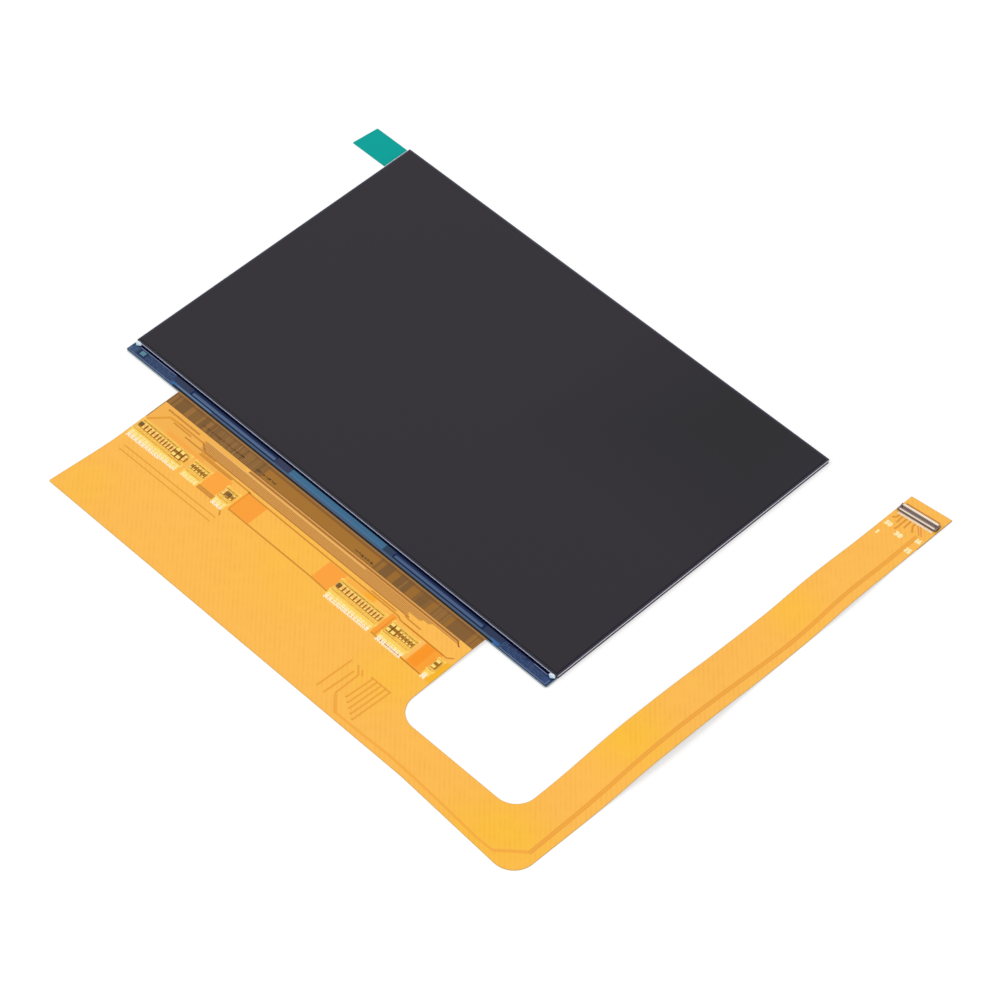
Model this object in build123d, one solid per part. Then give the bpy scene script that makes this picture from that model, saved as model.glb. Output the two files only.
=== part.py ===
from build123d import *
import math
import os

# A monochrome liquid crystal panel with its flex circuit, lying face up, in millimetres.
# The frame has +X along the long side, +Y away from the bond ledge and +Z out of the
# display face. The origin is the centre of the rear glass's outline, on the outer side
# of the rear protective film, which lies on the same surface as the flex circuit.

os.makedirs("parts", exist_ok=True)

# Glass pair: the rear glass carries the bond ledge, the counter glass is set back from it.
# The liquid crystal gap is a few thousandths of a millimetre in life and is drawn wider.
panel_length = 147.0
panel_depth = 97.8
rear_glass_thickness = 0.5
counter_glass_thickness = 0.5
cell_gap = 0.03
ledge_depth = 3.6
glass_corner_chamfer = 0.5
seal_inset = 0.4
seal_width = 1.2

# Films on the two faces, and the pull tab on the rear protective film's ear.
polarizer_thickness = 0.15
front_polarizer_inset = 0.7
rear_polarizer_inset = 0.9
protective_film_thickness = 0.05
protective_film_inset = 0.3
tab_length = 11.9
tab_width = 8.2
tab_thickness = 0.07
tab_gap = 0.9
tab_side_inset = 0.1
tab_end_slant = 0.8
tab_corner_radius = 0.3

# Driver chips, conductive bond film, blue coat and silver paste dots on the ledge.
chip_length = 29.7
chip_width = 1.2
chip_height = 0.25
chip_edge_break = 0.04
chip_end_distance = 37.7
chip_setback = 0.9
bond_thickness = 0.02
bond_length = 1.1
coat_thickness = 0.12
coat_inset = 0.2
bead_cover = 0.12
bead_lap = 0.15
bead_overrun = 2.8
bead_radius = 0.1
dot_radius = 0.85
dot_inset = 1.2
dot_setback = 0.15
dot_sink = 0.18

# Flex circuit: three layers, a main body under the ledge, a leg and a tail.
rear_cover_thickness = 0.04
base_thickness = 0.08
front_cover_thickness = 0.05
rear_cover_setback = 0.2
bare_strip = 4.4
body_width = 107.4
body_reach = 41.1
tip_flare = 1.3
tip_flare_length = 20.0
tip_radius = 0.4
leg_width = 11.5
leg_lean = 2.0
leg_lean_start = 14.0
tail_gap = 20.0
tail_root_width = 12.4
tail_middle_width = 13.3
tail_middle_start = 38.5
tail_middle_end = 92.5
tail_lean = 1.1
tail_length = 134.1
head_width = 11.8
head_length = 20.0
head_skew = 6.2
corner_radius = 6.0
bend_radius = 80.0

# How the flex circuit lies: from the bond down to the surface, then up in two low humps.
bond_level_length = 2.1
body_slope_length = 25.5
bond_bend_span = 1.9
floor_bend_span = 2.5
tail_flat = 8.5
first_hump_rise = 28.0
first_hump_height = 1.6
first_hump_fall = 44.0
second_hump_rise = 18.0
second_hump_height = 0.8
second_hump_fall = 18.0
head_stiffener_thickness = 0.2
head_stiffener_length = 12.0

# Surface-mount parts: size across the row, along the circuit's depth, and height.
parts_line = 13.55
part_gap = 0.45
window_end_margin = 0.4
window_side_margin = 0.75
window_radius = 0.25
band_stiffener_thickness = 0.12
band_stiffener_depth = 8.3
band_stiffener_inset = 0.6
terminal_length = 0.35
coil_terminal_length = 0.85
terminal_proud = 0.02
capacitor = (0.6, 1.6, 0.5)
large_capacitor = (0.8, 1.6, 0.6)
resistor = (0.6, 1.6, 0.4)
coil = (1.1, 2.5, 0.65)
diode = (0.9, 1.7, 0.55)
power_chip = (1.0, 2.0, 0.6)
lead_width = 0.25
lead_length = 0.25
lead_thickness = 0.1
lead_spacing = 0.45
mould_bevel = 0.06

# Each window in the front cover: how far its left edge is from the body's nearer side
# edge, and the parts that stand in it from left to right.
left_windows = [
    (0.5, [diode] + [large_capacitor] * 4 + [capacitor] * 6 + [coil] * 2 + [large_capacitor]),
    (19.3, [resistor] * 5),
    (30.8, [large_capacitor, power_chip, resistor]),
]
right_windows = [
    (36.6, [diode] + [large_capacitor] * 5 + [capacitor] * 7),
    (18.9, [coil] * 2 + [resistor] * 5),
    (3.7, [coil]),
]

# Board-to-board header on the tail's head.
contact_count = 25
contact_pitch = 0.4
contact_width = 0.26
contact_thickness = 0.06
contact_tail = 0.35
contact_embed = 0.03
housing_end = 0.8
housing_width = 2.2
housing_height = 0.7
housing_edge_break = 0.06
groove_width = 0.9
groove_depth = 0.5
groove_end = 0.45
key_depth = 0.25
anchor_width = 1.0
anchor_foot = 0.1
anchor_thickness = 0.08
anchor_height = 0.4
header_setback = 4.6
header_side_shift = -0.15
header_window_margin = 0.06

# Heights of the stack.
rear_polarizer_z = protective_film_thickness
rear_glass_z = rear_polarizer_z + polarizer_thickness
ledge_z = rear_glass_z + rear_glass_thickness
counter_glass_z = ledge_z + cell_gap
front_polarizer_z = counter_glass_z + counter_glass_thickness
face_z = front_polarizer_z + polarizer_thickness
base_lift = rear_cover_thickness
front_cover_lift = base_lift + base_thickness
bond_lift = ledge_z + bond_thickness - base_lift
above_all = face_z + first_hump_height
below_all = -face_z

# Plan lines of the panel.
half_length = panel_length / 2
chip_x = half_length - chip_end_distance
back_y = panel_depth / 2
ledge_y = -back_y
counter_y = ledge_y + ledge_depth

# Plan lines of the flex circuit.
body_left = -body_width / 2
body_right = body_width / 2
bond_end_y = ledge_y + bond_length
outer_y = ledge_y - body_reach
leg_inner_y = outer_y + leg_width
tail_inner_x = half_length + tail_gap
tail_outer_x = tail_inner_x + tail_root_width
tail_middle_x = tail_inner_x + tail_middle_width
head_inner_x = tail_inner_x + tail_lean
head_outer_x = head_inner_x + head_width
head_x = (head_inner_x + head_outer_x) / 2
tail_end_y = leg_inner_y + tail_length
join_x = (body_right + tail_inner_x) / 2
far_y = outer_y - leg_lean - corner_radius
parts_y = ledge_y - parts_line
slope_top_y = ledge_y - bond_level_length
slope_foot_y = slope_top_y - body_slope_length
slope_angle = math.degrees(math.atan2(bond_lift, body_slope_length))

windows = [(body_left + distance, parts) for distance, parts in left_windows]
windows += [(body_right - distance, parts) for distance, parts in right_windows]

# Seat of the header on the head's base film, square to the tail's skewed end.
housing_length = (contact_count - 1) * contact_pitch + 2 * housing_end
head_top_z = head_stiffener_thickness + front_cover_lift
header_x = head_x + header_side_shift
header_seat = Pos(header_x, tail_end_y - header_setback, head_top_z) * Rot(0, 0, head_skew)


def block(x, y, z):
    """Box that spans three pairs of coordinates."""
    spans = (x, y, z)
    middle = [(low + high) / 2 for low, high in spans]
    size = [high - low for low, high in spans]
    return Pos(*middle) * Box(*size)


def plate(outline, z, thickness):
    """Flat plate of a plan outline between two heights."""
    return extrude(Pos(0, 0, z) * outline, amount=thickness, dir=(0, 0, 1))


def cornered(points, radii):
    """Closed plan face whose corners have the given radii."""
    return make_face(FilletPolyline(*points, radius=radii, close=True))


def glass(y_front, z, thickness):
    """Glass sheet with its four corners cut at 45 degrees."""
    sheet = block((-half_length, half_length), (y_front, back_y), (z, z + thickness))
    return chamfer(sheet.edges().filter_by(Axis.Z), glass_corner_chamfer)


def inset_sheet(inset, y_front, z, thickness):
    """Film laid inside the glass outline by an even inset."""
    x = (inset - half_length, half_length - inset)
    return block(x, (y_front + inset, back_y - inset), (z, z + thickness))


def edge_seal():
    """Closed seal frame in the cell gap."""
    frame = inset_sheet(seal_inset, counter_y, ledge_z, cell_gap)
    return frame - inset_sheet(seal_inset + seal_width, counter_y, ledge_z, cell_gap)


def tab_outline(inner_x):
    """Plan of the pull tab, or of the film's ear, from inner_x out past the glass."""
    outer_x = -half_length - tab_gap - tab_length
    high_y = back_y - tab_side_inset
    low_y = high_y - tab_width
    points = [
        (inner_x, low_y),
        (inner_x, high_y),
        (outer_x + tab_end_slant, high_y),
        (outer_x, low_y),
    ]
    return cornered(points, [0, 0, tab_corner_radius, tab_corner_radius])


def protective_film():
    """Rear film with the clear ear that carries the pull tab."""
    film = inset_sheet(protective_film_inset, ledge_y, 0, protective_film_thickness)
    ear = tab_outline(protective_film_inset - half_length)
    return film + plate(ear, 0, protective_film_thickness)


def driver_chip(side):
    """Bare driver chip on the ledge, on the given side of the middle."""
    y = counter_y - chip_setback - chip_width / 2
    z = ledge_z + bond_thickness + chip_height / 2
    chip = Pos(side * chip_x, y, z) * Box(chip_length, chip_width, chip_height)
    return chamfer(chip.edges().group_by(Axis.Z)[-1], chip_edge_break)


def bond_film():
    """Conductive film under the flex circuit's end and under each chip."""
    z = (ledge_z, ledge_z + bond_thickness)
    strips = [block((body_left, body_right), (ledge_y, bond_end_y), z)]
    y = counter_y - chip_setback - chip_width / 2
    for side in (-1, 1):
        spot = Pos(side * chip_x, y, ledge_z + bond_thickness / 2)
        strips.append(spot * Box(chip_length, chip_width, bond_thickness))
    return strips


def silver_dot(side):
    """Silver paste blob from the ledge up over the counter glass's edge."""
    x = side * (half_length - dot_inset)
    blob = Pos(x, counter_y - dot_setback, ledge_z - dot_sink) * Sphere(dot_radius)
    reach = 2 * dot_radius
    around = (x - reach, x + reach)
    below = block(around, (counter_y - reach, counter_y + reach), (ledge_z - reach, ledge_z))
    behind = block(around, (counter_y, counter_y + reach), (ledge_z - reach, front_polarizer_z))
    return blob - below - behind


def ledge_coat(covered):
    """Blue coat on the ledge, with a rounded bead over the flex circuit's bonded end."""
    x = (coat_inset - half_length, half_length - coat_inset)
    sheet = block(x, (ledge_y + coat_inset, counter_y), (ledge_z, ledge_z + coat_thickness))
    bead_half = body_width / 2 + bead_overrun
    bead_top = bond_lift + front_cover_lift + bead_cover
    bead_y = (ledge_y + bead_lap, bond_end_y + bead_lap)
    bead = block((-bead_half, bead_half), bead_y, (ledge_z, bead_top))
    bead = fillet(bead.edges().group_by(Axis.Z)[-1], bead_radius)
    coat = sheet + bead
    for piece in covered:
        coat = coat - piece
    return coat


def eased(points, spans):
    """Straight runs joined by tangent arcs that begin one span before each corner."""
    corners = [Vector(*point) for point in points]
    edges = []
    start = corners[0]
    for before, corner, after, span in zip(corners, corners[1:], corners[2:], spans):
        incoming = (corner - before).normalized()
        outgoing = (after - corner).normalized()
        arc = TangentArc(corner - incoming * span, corner + outgoing * span, tangent=incoming)
        edges += [Line(start, arc @ 0), arc]
        start = arc @ 1
    return edges + [Line(start, corners[-1])]


def humped(points):
    """Level runs and S bends, level at both ends, through points of (y, z)."""
    edges = []
    for start, end in zip(points, points[1:]):
        if start[1] == end[1]:
            edges.append(Line(start, end))
        else:
            middle = ((start[0] + end[0]) / 2, (start[1] + end[1]) / 2)
            first = TangentArc(start, middle, tangent=(1, 0))
            edges += [first, TangentArc(middle, end, tangent=first % 1)]
    return edges


def body_profile():
    """Side view of the main body's underside, from the surface up to the bond."""
    points = [
        (far_y, 0),
        (slope_foot_y, 0),
        (slope_top_y, bond_lift),
        (bond_end_y, bond_lift),
    ]
    return eased(points, [floor_bend_span, bond_bend_span])


def tail_profile():
    """Side view of the tail's underside: flat, two low humps, and the stiffened head."""
    steps = [
        (tail_flat, 0),
        (first_hump_rise, first_hump_height),
        (first_hump_fall, 0),
        (second_hump_rise, second_hump_height),
        (second_hump_fall, head_stiffener_thickness),
    ]
    points = [(far_y, 0)]
    y = leg_inner_y
    for run, height in steps:
        y += run
        points.append((y, height))
    points.append((tail_end_y + head_width, head_stiffener_thickness))
    return humped(points)


def sheet(profile, x, lift, thickness):
    """Sheet of even height over a side view, between two places along X."""
    lower = [Pos(0, lift) * edge for edge in profile]
    upper = [Pos(0, lift + thickness) * edge for edge in profile]
    near = Line(lower[0] @ 0, upper[0] @ 0)
    far = Line(lower[-1] @ 1, upper[-1] @ 1)
    section = make_face(lower + upper + [near, far])
    return extrude(Plane.YZ.offset(x[0]) * section, amount=x[1] - x[0], dir=(1, 0, 0))


def end_y(x):
    """Place of the tail's skewed end edge at x."""
    return tail_end_y + (x - head_x) * math.tan(math.radians(head_skew))


def flex_outline(start_y):
    """Plan of the flex circuit, with its main body cut off at start_y."""
    corners = [
        ((body_left, start_y), 0),
        ((body_right, start_y), 0),
        ((body_right, leg_inner_y), corner_radius),
        ((tail_inner_x, leg_inner_y), corner_radius),
        ((head_inner_x, end_y(head_inner_x)), 0),
        ((head_outer_x, end_y(head_outer_x)), 0),
        ((head_outer_x, tail_end_y - head_length), bend_radius),
        ((tail_middle_x, leg_inner_y + tail_middle_end), bend_radius),
        ((tail_middle_x, leg_inner_y + tail_middle_start), bend_radius),
        ((tail_outer_x, outer_y - leg_lean), corner_radius),
        ((body_right + leg_lean_start, outer_y), bend_radius),
        ((body_left - tip_flare, outer_y), tip_radius),
        ((body_left, outer_y + tip_flare_length), bend_radius),
    ]
    points = [point for point, radius in corners]
    return cornered(points, [radius for point, radius in corners])


def flex_layer(start_y, lift, thickness):
    """One layer of the flex circuit, bent as it lies and cut to its plan."""
    body_x = (body_left - 2 * tip_flare - tip_radius, join_x)
    tail_x = (join_x, tail_middle_x + corner_radius)
    cutter = plate(flex_outline(start_y), below_all, above_all - below_all)
    body = sheet(body_profile(), body_x, lift, thickness) & cutter
    tail = sheet(tail_profile(), tail_x, lift, thickness) & cutter
    return body + tail


def on_base(x, y):
    """Seat on the base film's upper side, on the body's slope."""
    z = (y - slope_foot_y) * bond_lift / body_slope_length + front_cover_lift
    return Pos(x, y, z) * Rot(slope_angle, 0, 0)


def window_parts(window):
    """Places of the parts in a window, as (part, middle along X), and the window's end."""
    start, kinds = window
    x = start + window_end_margin
    placed = []
    for kind in kinds:
        placed.append((kind, x + kind[0] / 2))
        x += kind[0] + part_gap
    return placed, x - part_gap + window_end_margin


def window_cutter(window):
    """Round-cornered prism through the front cover at one window."""
    placed, end = window_parts(window)
    depth = coil[1] + 2 * window_side_margin
    prism = block((window[0], end), (parts_y - depth / 2, parts_y + depth / 2), (0, above_all))
    return fillet(prism.edges().filter_by(Axis.Z), window_radius)


def all_places(kind):
    """Seats of every part of one kind, in all windows."""
    places = []
    for window in windows:
        placed, end = window_parts(window)
        places += [on_base(x, parts_y) for part, x in placed if part is kind]
    return places


def two_ended(kind, terminal=terminal_length):
    """Small block part with a metal terminal wrapped round each end."""
    width, length, height = kind
    core_width = width - 2 * terminal_proud
    body = block(
        (-core_width / 2, core_width / 2),
        (-length / 2 + terminal_proud, length / 2 - terminal_proud),
        (terminal_proud, height - terminal_proud),
    )
    for side in (-1, 1):
        ends = sorted((side * length / 2, side * (length / 2 - terminal)))
        body = body + block((-width / 2, width / 2), ends, (0, height))
    return body


def leaded(kind):
    """Moulded part with two flat leads along each side, standing on its leads."""
    width, length, height = kind
    body_half = length / 2 - lead_length
    body = block((-width / 2, width / 2), (-body_half, body_half), (0, height))
    body = chamfer(body.edges().group_by(Axis.Z)[-1], mould_bevel)
    for side in (-1, 1):
        for place in (-lead_spacing / 2, lead_spacing / 2):
            ends = sorted((side * body_half, side * length / 2))
            span = (place - lead_width / 2, place + lead_width / 2)
            body = body + block(span, ends, (0, lead_thickness))
    return body


def front_cover():
    """Front cover film with its windows and the header's opening."""
    cover = flex_layer(ledge_y - bare_strip, front_cover_lift, front_cover_thickness)
    for window in windows:
        cover = cover - window_cutter(window)
    length = housing_length + 2 * (anchor_foot + header_window_margin)
    depth = housing_width + 2 * (contact_tail + header_window_margin)
    opening = block((-length / 2, length / 2), (-depth / 2, depth / 2), (below_all, above_all))
    return cover - header_seat * opening


def band_stiffener():
    """Strip under the rear cover that keeps the band of small parts straight."""
    x = (body_left + band_stiffener_inset, body_right - band_stiffener_inset)
    strip = sheet(body_profile(), x, -band_stiffener_thickness, band_stiffener_thickness)
    y = (parts_y - band_stiffener_depth / 2, parts_y + band_stiffener_depth / 2)
    return strip & block(x, y, (below_all, above_all))


def head_stiffener():
    """Plate under the tail's head, cut to the same outline."""
    tall = plate(flex_outline(ledge_y), 0, head_stiffener_thickness)
    y = (tail_end_y - head_stiffener_length, tail_end_y + head_width)
    return tall & block((tail_inner_x, tail_middle_x), y, (0, head_stiffener_thickness))


def contact_row(side):
    """Row of formed contacts, each wrapped over one rail of the header."""
    wall = housing_width / 2
    lip = groove_width / 2
    top = housing_height
    floor = housing_height - groove_depth
    section = [
        (wall - contact_embed, 0),
        (wall + contact_tail, 0),
        (wall + contact_tail, contact_thickness),
        (wall + contact_thickness - contact_embed, contact_thickness),
        (wall + contact_thickness - contact_embed, top + contact_thickness - contact_embed),
        (lip - contact_thickness + contact_embed, top + contact_thickness - contact_embed),
        (lip - contact_thickness + contact_embed, floor),
        (lip + contact_embed, floor),
        (lip + contact_embed, top - contact_embed),
        (wall - contact_embed, top - contact_embed),
    ]
    face = Plane.YZ * make_face(Polyline(*[(side * y, z) for y, z in section], close=True))
    strip = extrude(face, amount=contact_width, dir=(1, 0, 0))
    first = -(contact_count - 1) * contact_pitch / 2 - contact_width / 2
    return [Pos(first + n * contact_pitch, 0, 0) * strip for n in range(contact_count)]


def anchors():
    """Metal anchor at each end of the header: a foot on the film and a plate up the wall."""
    pieces = []
    half = anchor_width / 2
    for side in (-1, 1):
        wall = side * housing_length / 2
        plate_x = sorted((wall - side * anchor_thickness, wall))
        foot_x = sorted((wall, wall + side * anchor_foot))
        upright = block(plate_x, (-half, half), (0, anchor_height))
        pieces.append(upright + block(foot_x, (-half, half), (0, anchor_thickness)))
    return pieces


def housing(fittings):
    """Moulded header body: two rails, a long groove between them and a key at each end."""
    half = housing_length / 2
    wall = housing_width / 2
    body = block((-half, half), (-wall, wall), (0, housing_height))
    body = chamfer(body.edges().group_by(Axis.Z)[-1], housing_edge_break)
    groove_half = half - groove_end
    lip = groove_width / 2
    floor = housing_height - groove_depth
    body = body - block((-groove_half, groove_half), (-lip, lip), (floor, housing_height))
    for side in (-1, 1):
        key = sorted((side * half, side * groove_half))
        body = body - block(key, (-lip / 2, lip / 2), (housing_height - key_depth, housing_height))
    for piece in fittings:
        body = body - piece
    return body


def group(solids):
    """Separate solids kept together as one node."""
    return Compound(children=list(solids))


chips = {side: driver_chip(side) for side in (-1, 1)}
dots = {side: silver_dot(side) for side in (-1, 1)}
bonds = bond_film()
circuit = flex_layer(bond_end_y, base_lift, base_thickness)
rows = {side: contact_row(side) for side in (-1, 1)}
header_anchors = anchors()
fittings = rows[-1] + rows[1] + header_anchors

nodes = {
    "rear_glass": glass(ledge_y, rear_glass_z, rear_glass_thickness),
    "counter_glass": glass(counter_y, counter_glass_z, counter_glass_thickness),
    "edge_seal": edge_seal(),
    "liquid_crystal": inset_sheet(seal_inset + seal_width, counter_y, ledge_z, cell_gap),
    "front_polarizer": inset_sheet(
        front_polarizer_inset, counter_y, front_polarizer_z, polarizer_thickness
    ),
    "rear_polarizer": inset_sheet(
        rear_polarizer_inset, ledge_y, rear_polarizer_z, polarizer_thickness
    ),
    "protective_film": protective_film(),
    "pull_tab": plate(tab_outline(-half_length - tab_gap), protective_film_thickness, tab_thickness),
    "driver_chip_left": chips[-1],
    "driver_chip_right": chips[1],
    "silver_dot_left": dots[-1],
    "silver_dot_right": dots[1],
    "bond_film": group(bonds),
    "ledge_coat": ledge_coat([circuit, *chips.values(), *dots.values(), *bonds]),
    "flex_circuit": circuit,
    "flex_front_cover": front_cover(),
    "flex_rear_cover": flex_layer(ledge_y - rear_cover_setback, 0, rear_cover_thickness),
    "band_stiffener": band_stiffener(),
    "head_stiffener": head_stiffener(),
    "capacitors": group(seat * two_ended(capacitor) for seat in all_places(capacitor)),
    "large_capacitors": group(
        seat * two_ended(large_capacitor) for seat in all_places(large_capacitor)
    ),
    "resistors": group(seat * two_ended(resistor) for seat in all_places(resistor)),
    "coils": group(seat * two_ended(coil, coil_terminal_length) for seat in all_places(coil)),
    "diodes": group(seat * leaded(diode) for seat in all_places(diode)),
    "power_chip": group(seat * leaded(power_chip) for seat in all_places(power_chip)),
    "header_housing": header_seat * housing(fittings),
    "header_contacts_inner": group(header_seat * piece for piece in rows[-1]),
    "header_contacts_outer": group(header_seat * piece for piece in rows[1]),
    "header_anchors": group(header_seat * piece for piece in header_anchors),
}

for name, shape in nodes.items():
    export_step(shape, f"parts/{name}.step")
    print(f"{name:24s} volume {shape.volume:10.3f} mm3")
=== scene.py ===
import logging
import math
from dataclasses import dataclass
from enum import Enum
from functools import cache, partial
from typing import Callable, Iterable, Sequence

import bmesh
import bpy
from mathutils import Matrix, Vector


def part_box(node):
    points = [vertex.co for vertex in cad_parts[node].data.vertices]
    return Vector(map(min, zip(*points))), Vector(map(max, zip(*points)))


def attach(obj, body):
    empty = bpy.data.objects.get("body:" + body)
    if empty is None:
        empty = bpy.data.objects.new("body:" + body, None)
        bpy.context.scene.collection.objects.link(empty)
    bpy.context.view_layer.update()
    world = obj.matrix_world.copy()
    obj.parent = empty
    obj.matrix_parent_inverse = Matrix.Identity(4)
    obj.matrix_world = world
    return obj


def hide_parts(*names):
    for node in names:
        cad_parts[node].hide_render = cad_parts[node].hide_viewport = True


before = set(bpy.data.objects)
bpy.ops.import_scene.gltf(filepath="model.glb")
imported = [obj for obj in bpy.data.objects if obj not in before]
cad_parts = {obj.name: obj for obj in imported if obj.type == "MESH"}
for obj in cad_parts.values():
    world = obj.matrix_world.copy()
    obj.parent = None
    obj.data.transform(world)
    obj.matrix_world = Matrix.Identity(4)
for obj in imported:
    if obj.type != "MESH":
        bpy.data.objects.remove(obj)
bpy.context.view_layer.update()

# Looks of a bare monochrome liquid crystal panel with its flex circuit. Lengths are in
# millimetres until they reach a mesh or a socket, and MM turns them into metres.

log = logging.getLogger("panel")

MM = 0.001
BODY = "root"
GLOSS = 0.024  # what the usual gloss adds to a linear colour
DARKEST = 0.002
SAME_PLACE = 0.0005 * MM
WALL_RISE = 0.3  # an upright face's normal rises less than this
TOP_RISE = 0.9  # a level face's normal rises more than this
SIDE_RISE = 0.5  # parts a glass's sides from its eased edges and its faces
RAY_HEIGHT = 10 * MM
INK_HEIGHT = 0.014
WINDOW_INSET = 0.05
WINDOW_BAND = (-70.0, -55.0)  # between which Y the windows over the small parts lie

Colour = tuple[float, float, float, float]
Point = tuple[float, float]
Size = tuple[float, float, float]
Path = Sequence[Point]
Socket = bpy.types.NodeSocket
Node = bpy.types.Node
Tree = bpy.types.NodeTree
Piece = bpy.types.Object

GEOMETRY = {"Geometry": "Geometry"}
LAID = {"Surface": "Object", "Lift": "Float", "Material": "Material"}


class Slot(Enum):
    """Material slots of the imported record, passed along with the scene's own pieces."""

    CLEAR_GLASS = "clear_glass"
    SEAL_RESIN = "seal_resin"
    SILVER_PASTE = "silver_paste"
    BLUE_COAT = "blue_coat"
    AMBER_FILM = "amber_film"
    COVER_FILM = "cover_film"
    CONTACT_METAL = "contact_metal"


class Side(Enum):
    """The two ends of the panel's long side."""

    LEFT = -1
    RIGHT = 1


class Rest(Enum):
    """What a laid detail lies on."""

    FRONT_COVER = "flex_front_cover"
    BASE_FILM = "flex_circuit"
    COAT = "ledge_coat"


def srgb(red: int, green: int, blue: int) -> Colour:
    """Turn a display colour, each channel from 0 to 255, into a linear one."""
    shares = [channel / 255 for channel in (red, green, blue)]
    linear = [s / 12.92 if s <= 0.04045 else ((s + 0.055) / 1.055) ** 2.4 for s in shares]
    return (*linear, 1.0)


def seen(red: int, green: int, blue: int, gloss: float = GLOSS) -> Colour:
    """Turn a display colour into the base colour that shows it under a gloss.

    Args:
        red: Red from 0 to 255.
        green: Green from 0 to 255.
        blue: Blue from 0 to 255.
        gloss: What the gloss adds to each linear channel.

    Returns:
        The linear base colour, with an alpha of 1.
    """
    shown = srgb(red, green, blue)[:3]
    return (*(max((channel - gloss) / (1 - gloss), DARKEST) for channel in shown), 1.0)


class Wiring:
    """Short ways to add and join nodes in one node tree."""

    def __init__(self, tree: Tree) -> None:
        """Keep the tree that the nodes go into."""
        self.tree = tree

    def feed(self, socket: Socket, value: object) -> None:
        """Join an output to a socket, or set the socket's own value."""
        if isinstance(value, Socket):
            self.tree.links.new(value, socket)
        else:
            socket.default_value = value

    def add(self, kind: str, inputs: dict | None = None, **settings: object) -> Node:
        """Add a node.

        Args:
            kind: The node's type name.
            inputs: Values or outputs for its sockets, by socket name or number.
            settings: The node's own properties.

        Returns:
            The new node.
        """
        node = self.tree.nodes.new(kind)
        for name, value in settings.items():
            setattr(node, name, value)
        for key, value in (inputs or {}).items():
            self.feed(node.inputs[key], value)
        return node

    def shade(self, kind: str, inputs: dict | None = None, **settings: object) -> Socket:
        """Add a shader node and return its first output."""
        return self.add(f"ShaderNode{kind}", inputs, **settings).outputs[0]

    def shape(self, kind: str, inputs: dict | None = None, **settings: object) -> Socket:
        """Add a geometry node and return its first output."""
        return self.add(f"GeometryNode{kind}", inputs, **settings).outputs[0]

    def group(self, tree: Tree, inputs: dict) -> bpy.types.bpy_prop_collection:
        """Place a node group and return its outputs."""
        return self.add(tree.bl_idname.replace("Tree", "Group"), inputs, node_tree=tree).outputs

    def math(self, operation: str, *values: object, clamp: bool = False) -> Socket:
        """Add a Math node and return its result."""
        inputs = dict(enumerate(values))
        return self.shade("Math", inputs, operation=operation, use_clamp=clamp)

    def vector(self, operation: str, *values: object) -> Socket:
        """Add a Vector Math node and return its vector."""
        return self.shade("VectorMath", dict(enumerate(values)), operation=operation)

    def scale(self, vector: Socket, factor: object) -> Socket:
        """Scale a vector or colour."""
        return self.shade("VectorMath", {0: vector, "Scale": factor}, operation="SCALE")

    def split(self, vector: Socket) -> tuple[Socket, ...]:
        """Return the X, Y and Z of a vector."""
        return tuple(self.add("ShaderNodeSeparateXYZ", {0: vector}).outputs)

    def blend(self, factor: object, first: object, second: object) -> Socket:
        """Mix two colours and return the result."""
        inputs = {0: factor, 6: first, 7: second}
        return self.add("ShaderNodeMix", inputs, data_type="RGBA").outputs[2]

    def noise(self, place: Socket, scale: object, detail: float = 3.0) -> Socket:
        """Return soft noise from 0 to 1."""
        return self.shade("TexNoise", {"Vector": place, "Scale": scale, "Detail": detail})

    def soft_edge(self, inside: Socket, blur: object) -> Socket:
        """Return a mask that rises from 0 to 1 where a distance to an edge turns positive."""
        return self.math("ADD", self.math("DIVIDE", inside, blur), 0.5, clamp=True)

    def place(self) -> Socket:
        """Return the Object coordinates in millimetres."""
        return self.scale(self.add("ShaderNodeTexCoord").outputs["Object"], 1 / MM)

    def random(self, kind: str, seed: object, **inputs: object) -> Socket:
        """Return a random value of one kind."""
        kinds = ("FLOAT_VECTOR", "FLOAT", "INT", "BOOLEAN")
        node = self.add("FunctionNodeRandomValue", {**inputs, "Seed": seed}, data_type=kind)
        return node.outputs[kinds.index(kind)]

    def sweep(self, curve: Socket, profile: Socket) -> Socket:
        """Sweep a profile along a curve and close its ends."""
        inputs = {"Curve": curve, "Profile Curve": profile, "Fill Caps": True}
        return self.shape("CurveToMesh", inputs)

    def shape_of(self, holder: Socket) -> Socket:
        """Return the geometry of an object."""
        return self.add("GeometryNodeObjectInfo", {"Object": holder}).outputs["Geometry"]


def node_group(name: str, kind: str, takes: dict[str, str], gives: dict[str, str]) -> Callable:
    """Make a node group of a function that wires it, once, when it is first asked for.

    Args:
        name: The group's name.
        kind: Shader or Geometry.
        takes: Input names with the kind of each socket.
        gives: Output names with the kind of each socket.

    Returns:
        A decorator. The function under it takes the wiring and the group's inputs, and
        returns what feeds each output.
    """

    def decorate(wire: Callable) -> Callable:
        """Wrap the function that wires the group."""

        @cache
        def make() -> Tree:
            """Return the finished group."""
            tree = bpy.data.node_groups.new(name, f"{kind}NodeTree")
            for direction, sockets in (("INPUT", takes), ("OUTPUT", gives)):
                for label, socket in sockets.items():
                    socket_type = f"NodeSocket{socket}"
                    tree.interface.new_socket(label, in_out=direction, socket_type=socket_type)
            net = Wiring(tree)
            given = net.add("NodeGroupInput").outputs
            net.add("NodeGroupOutput", dict(enumerate(wire(net, given))))
            return tree

        return make

    return decorate


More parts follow.
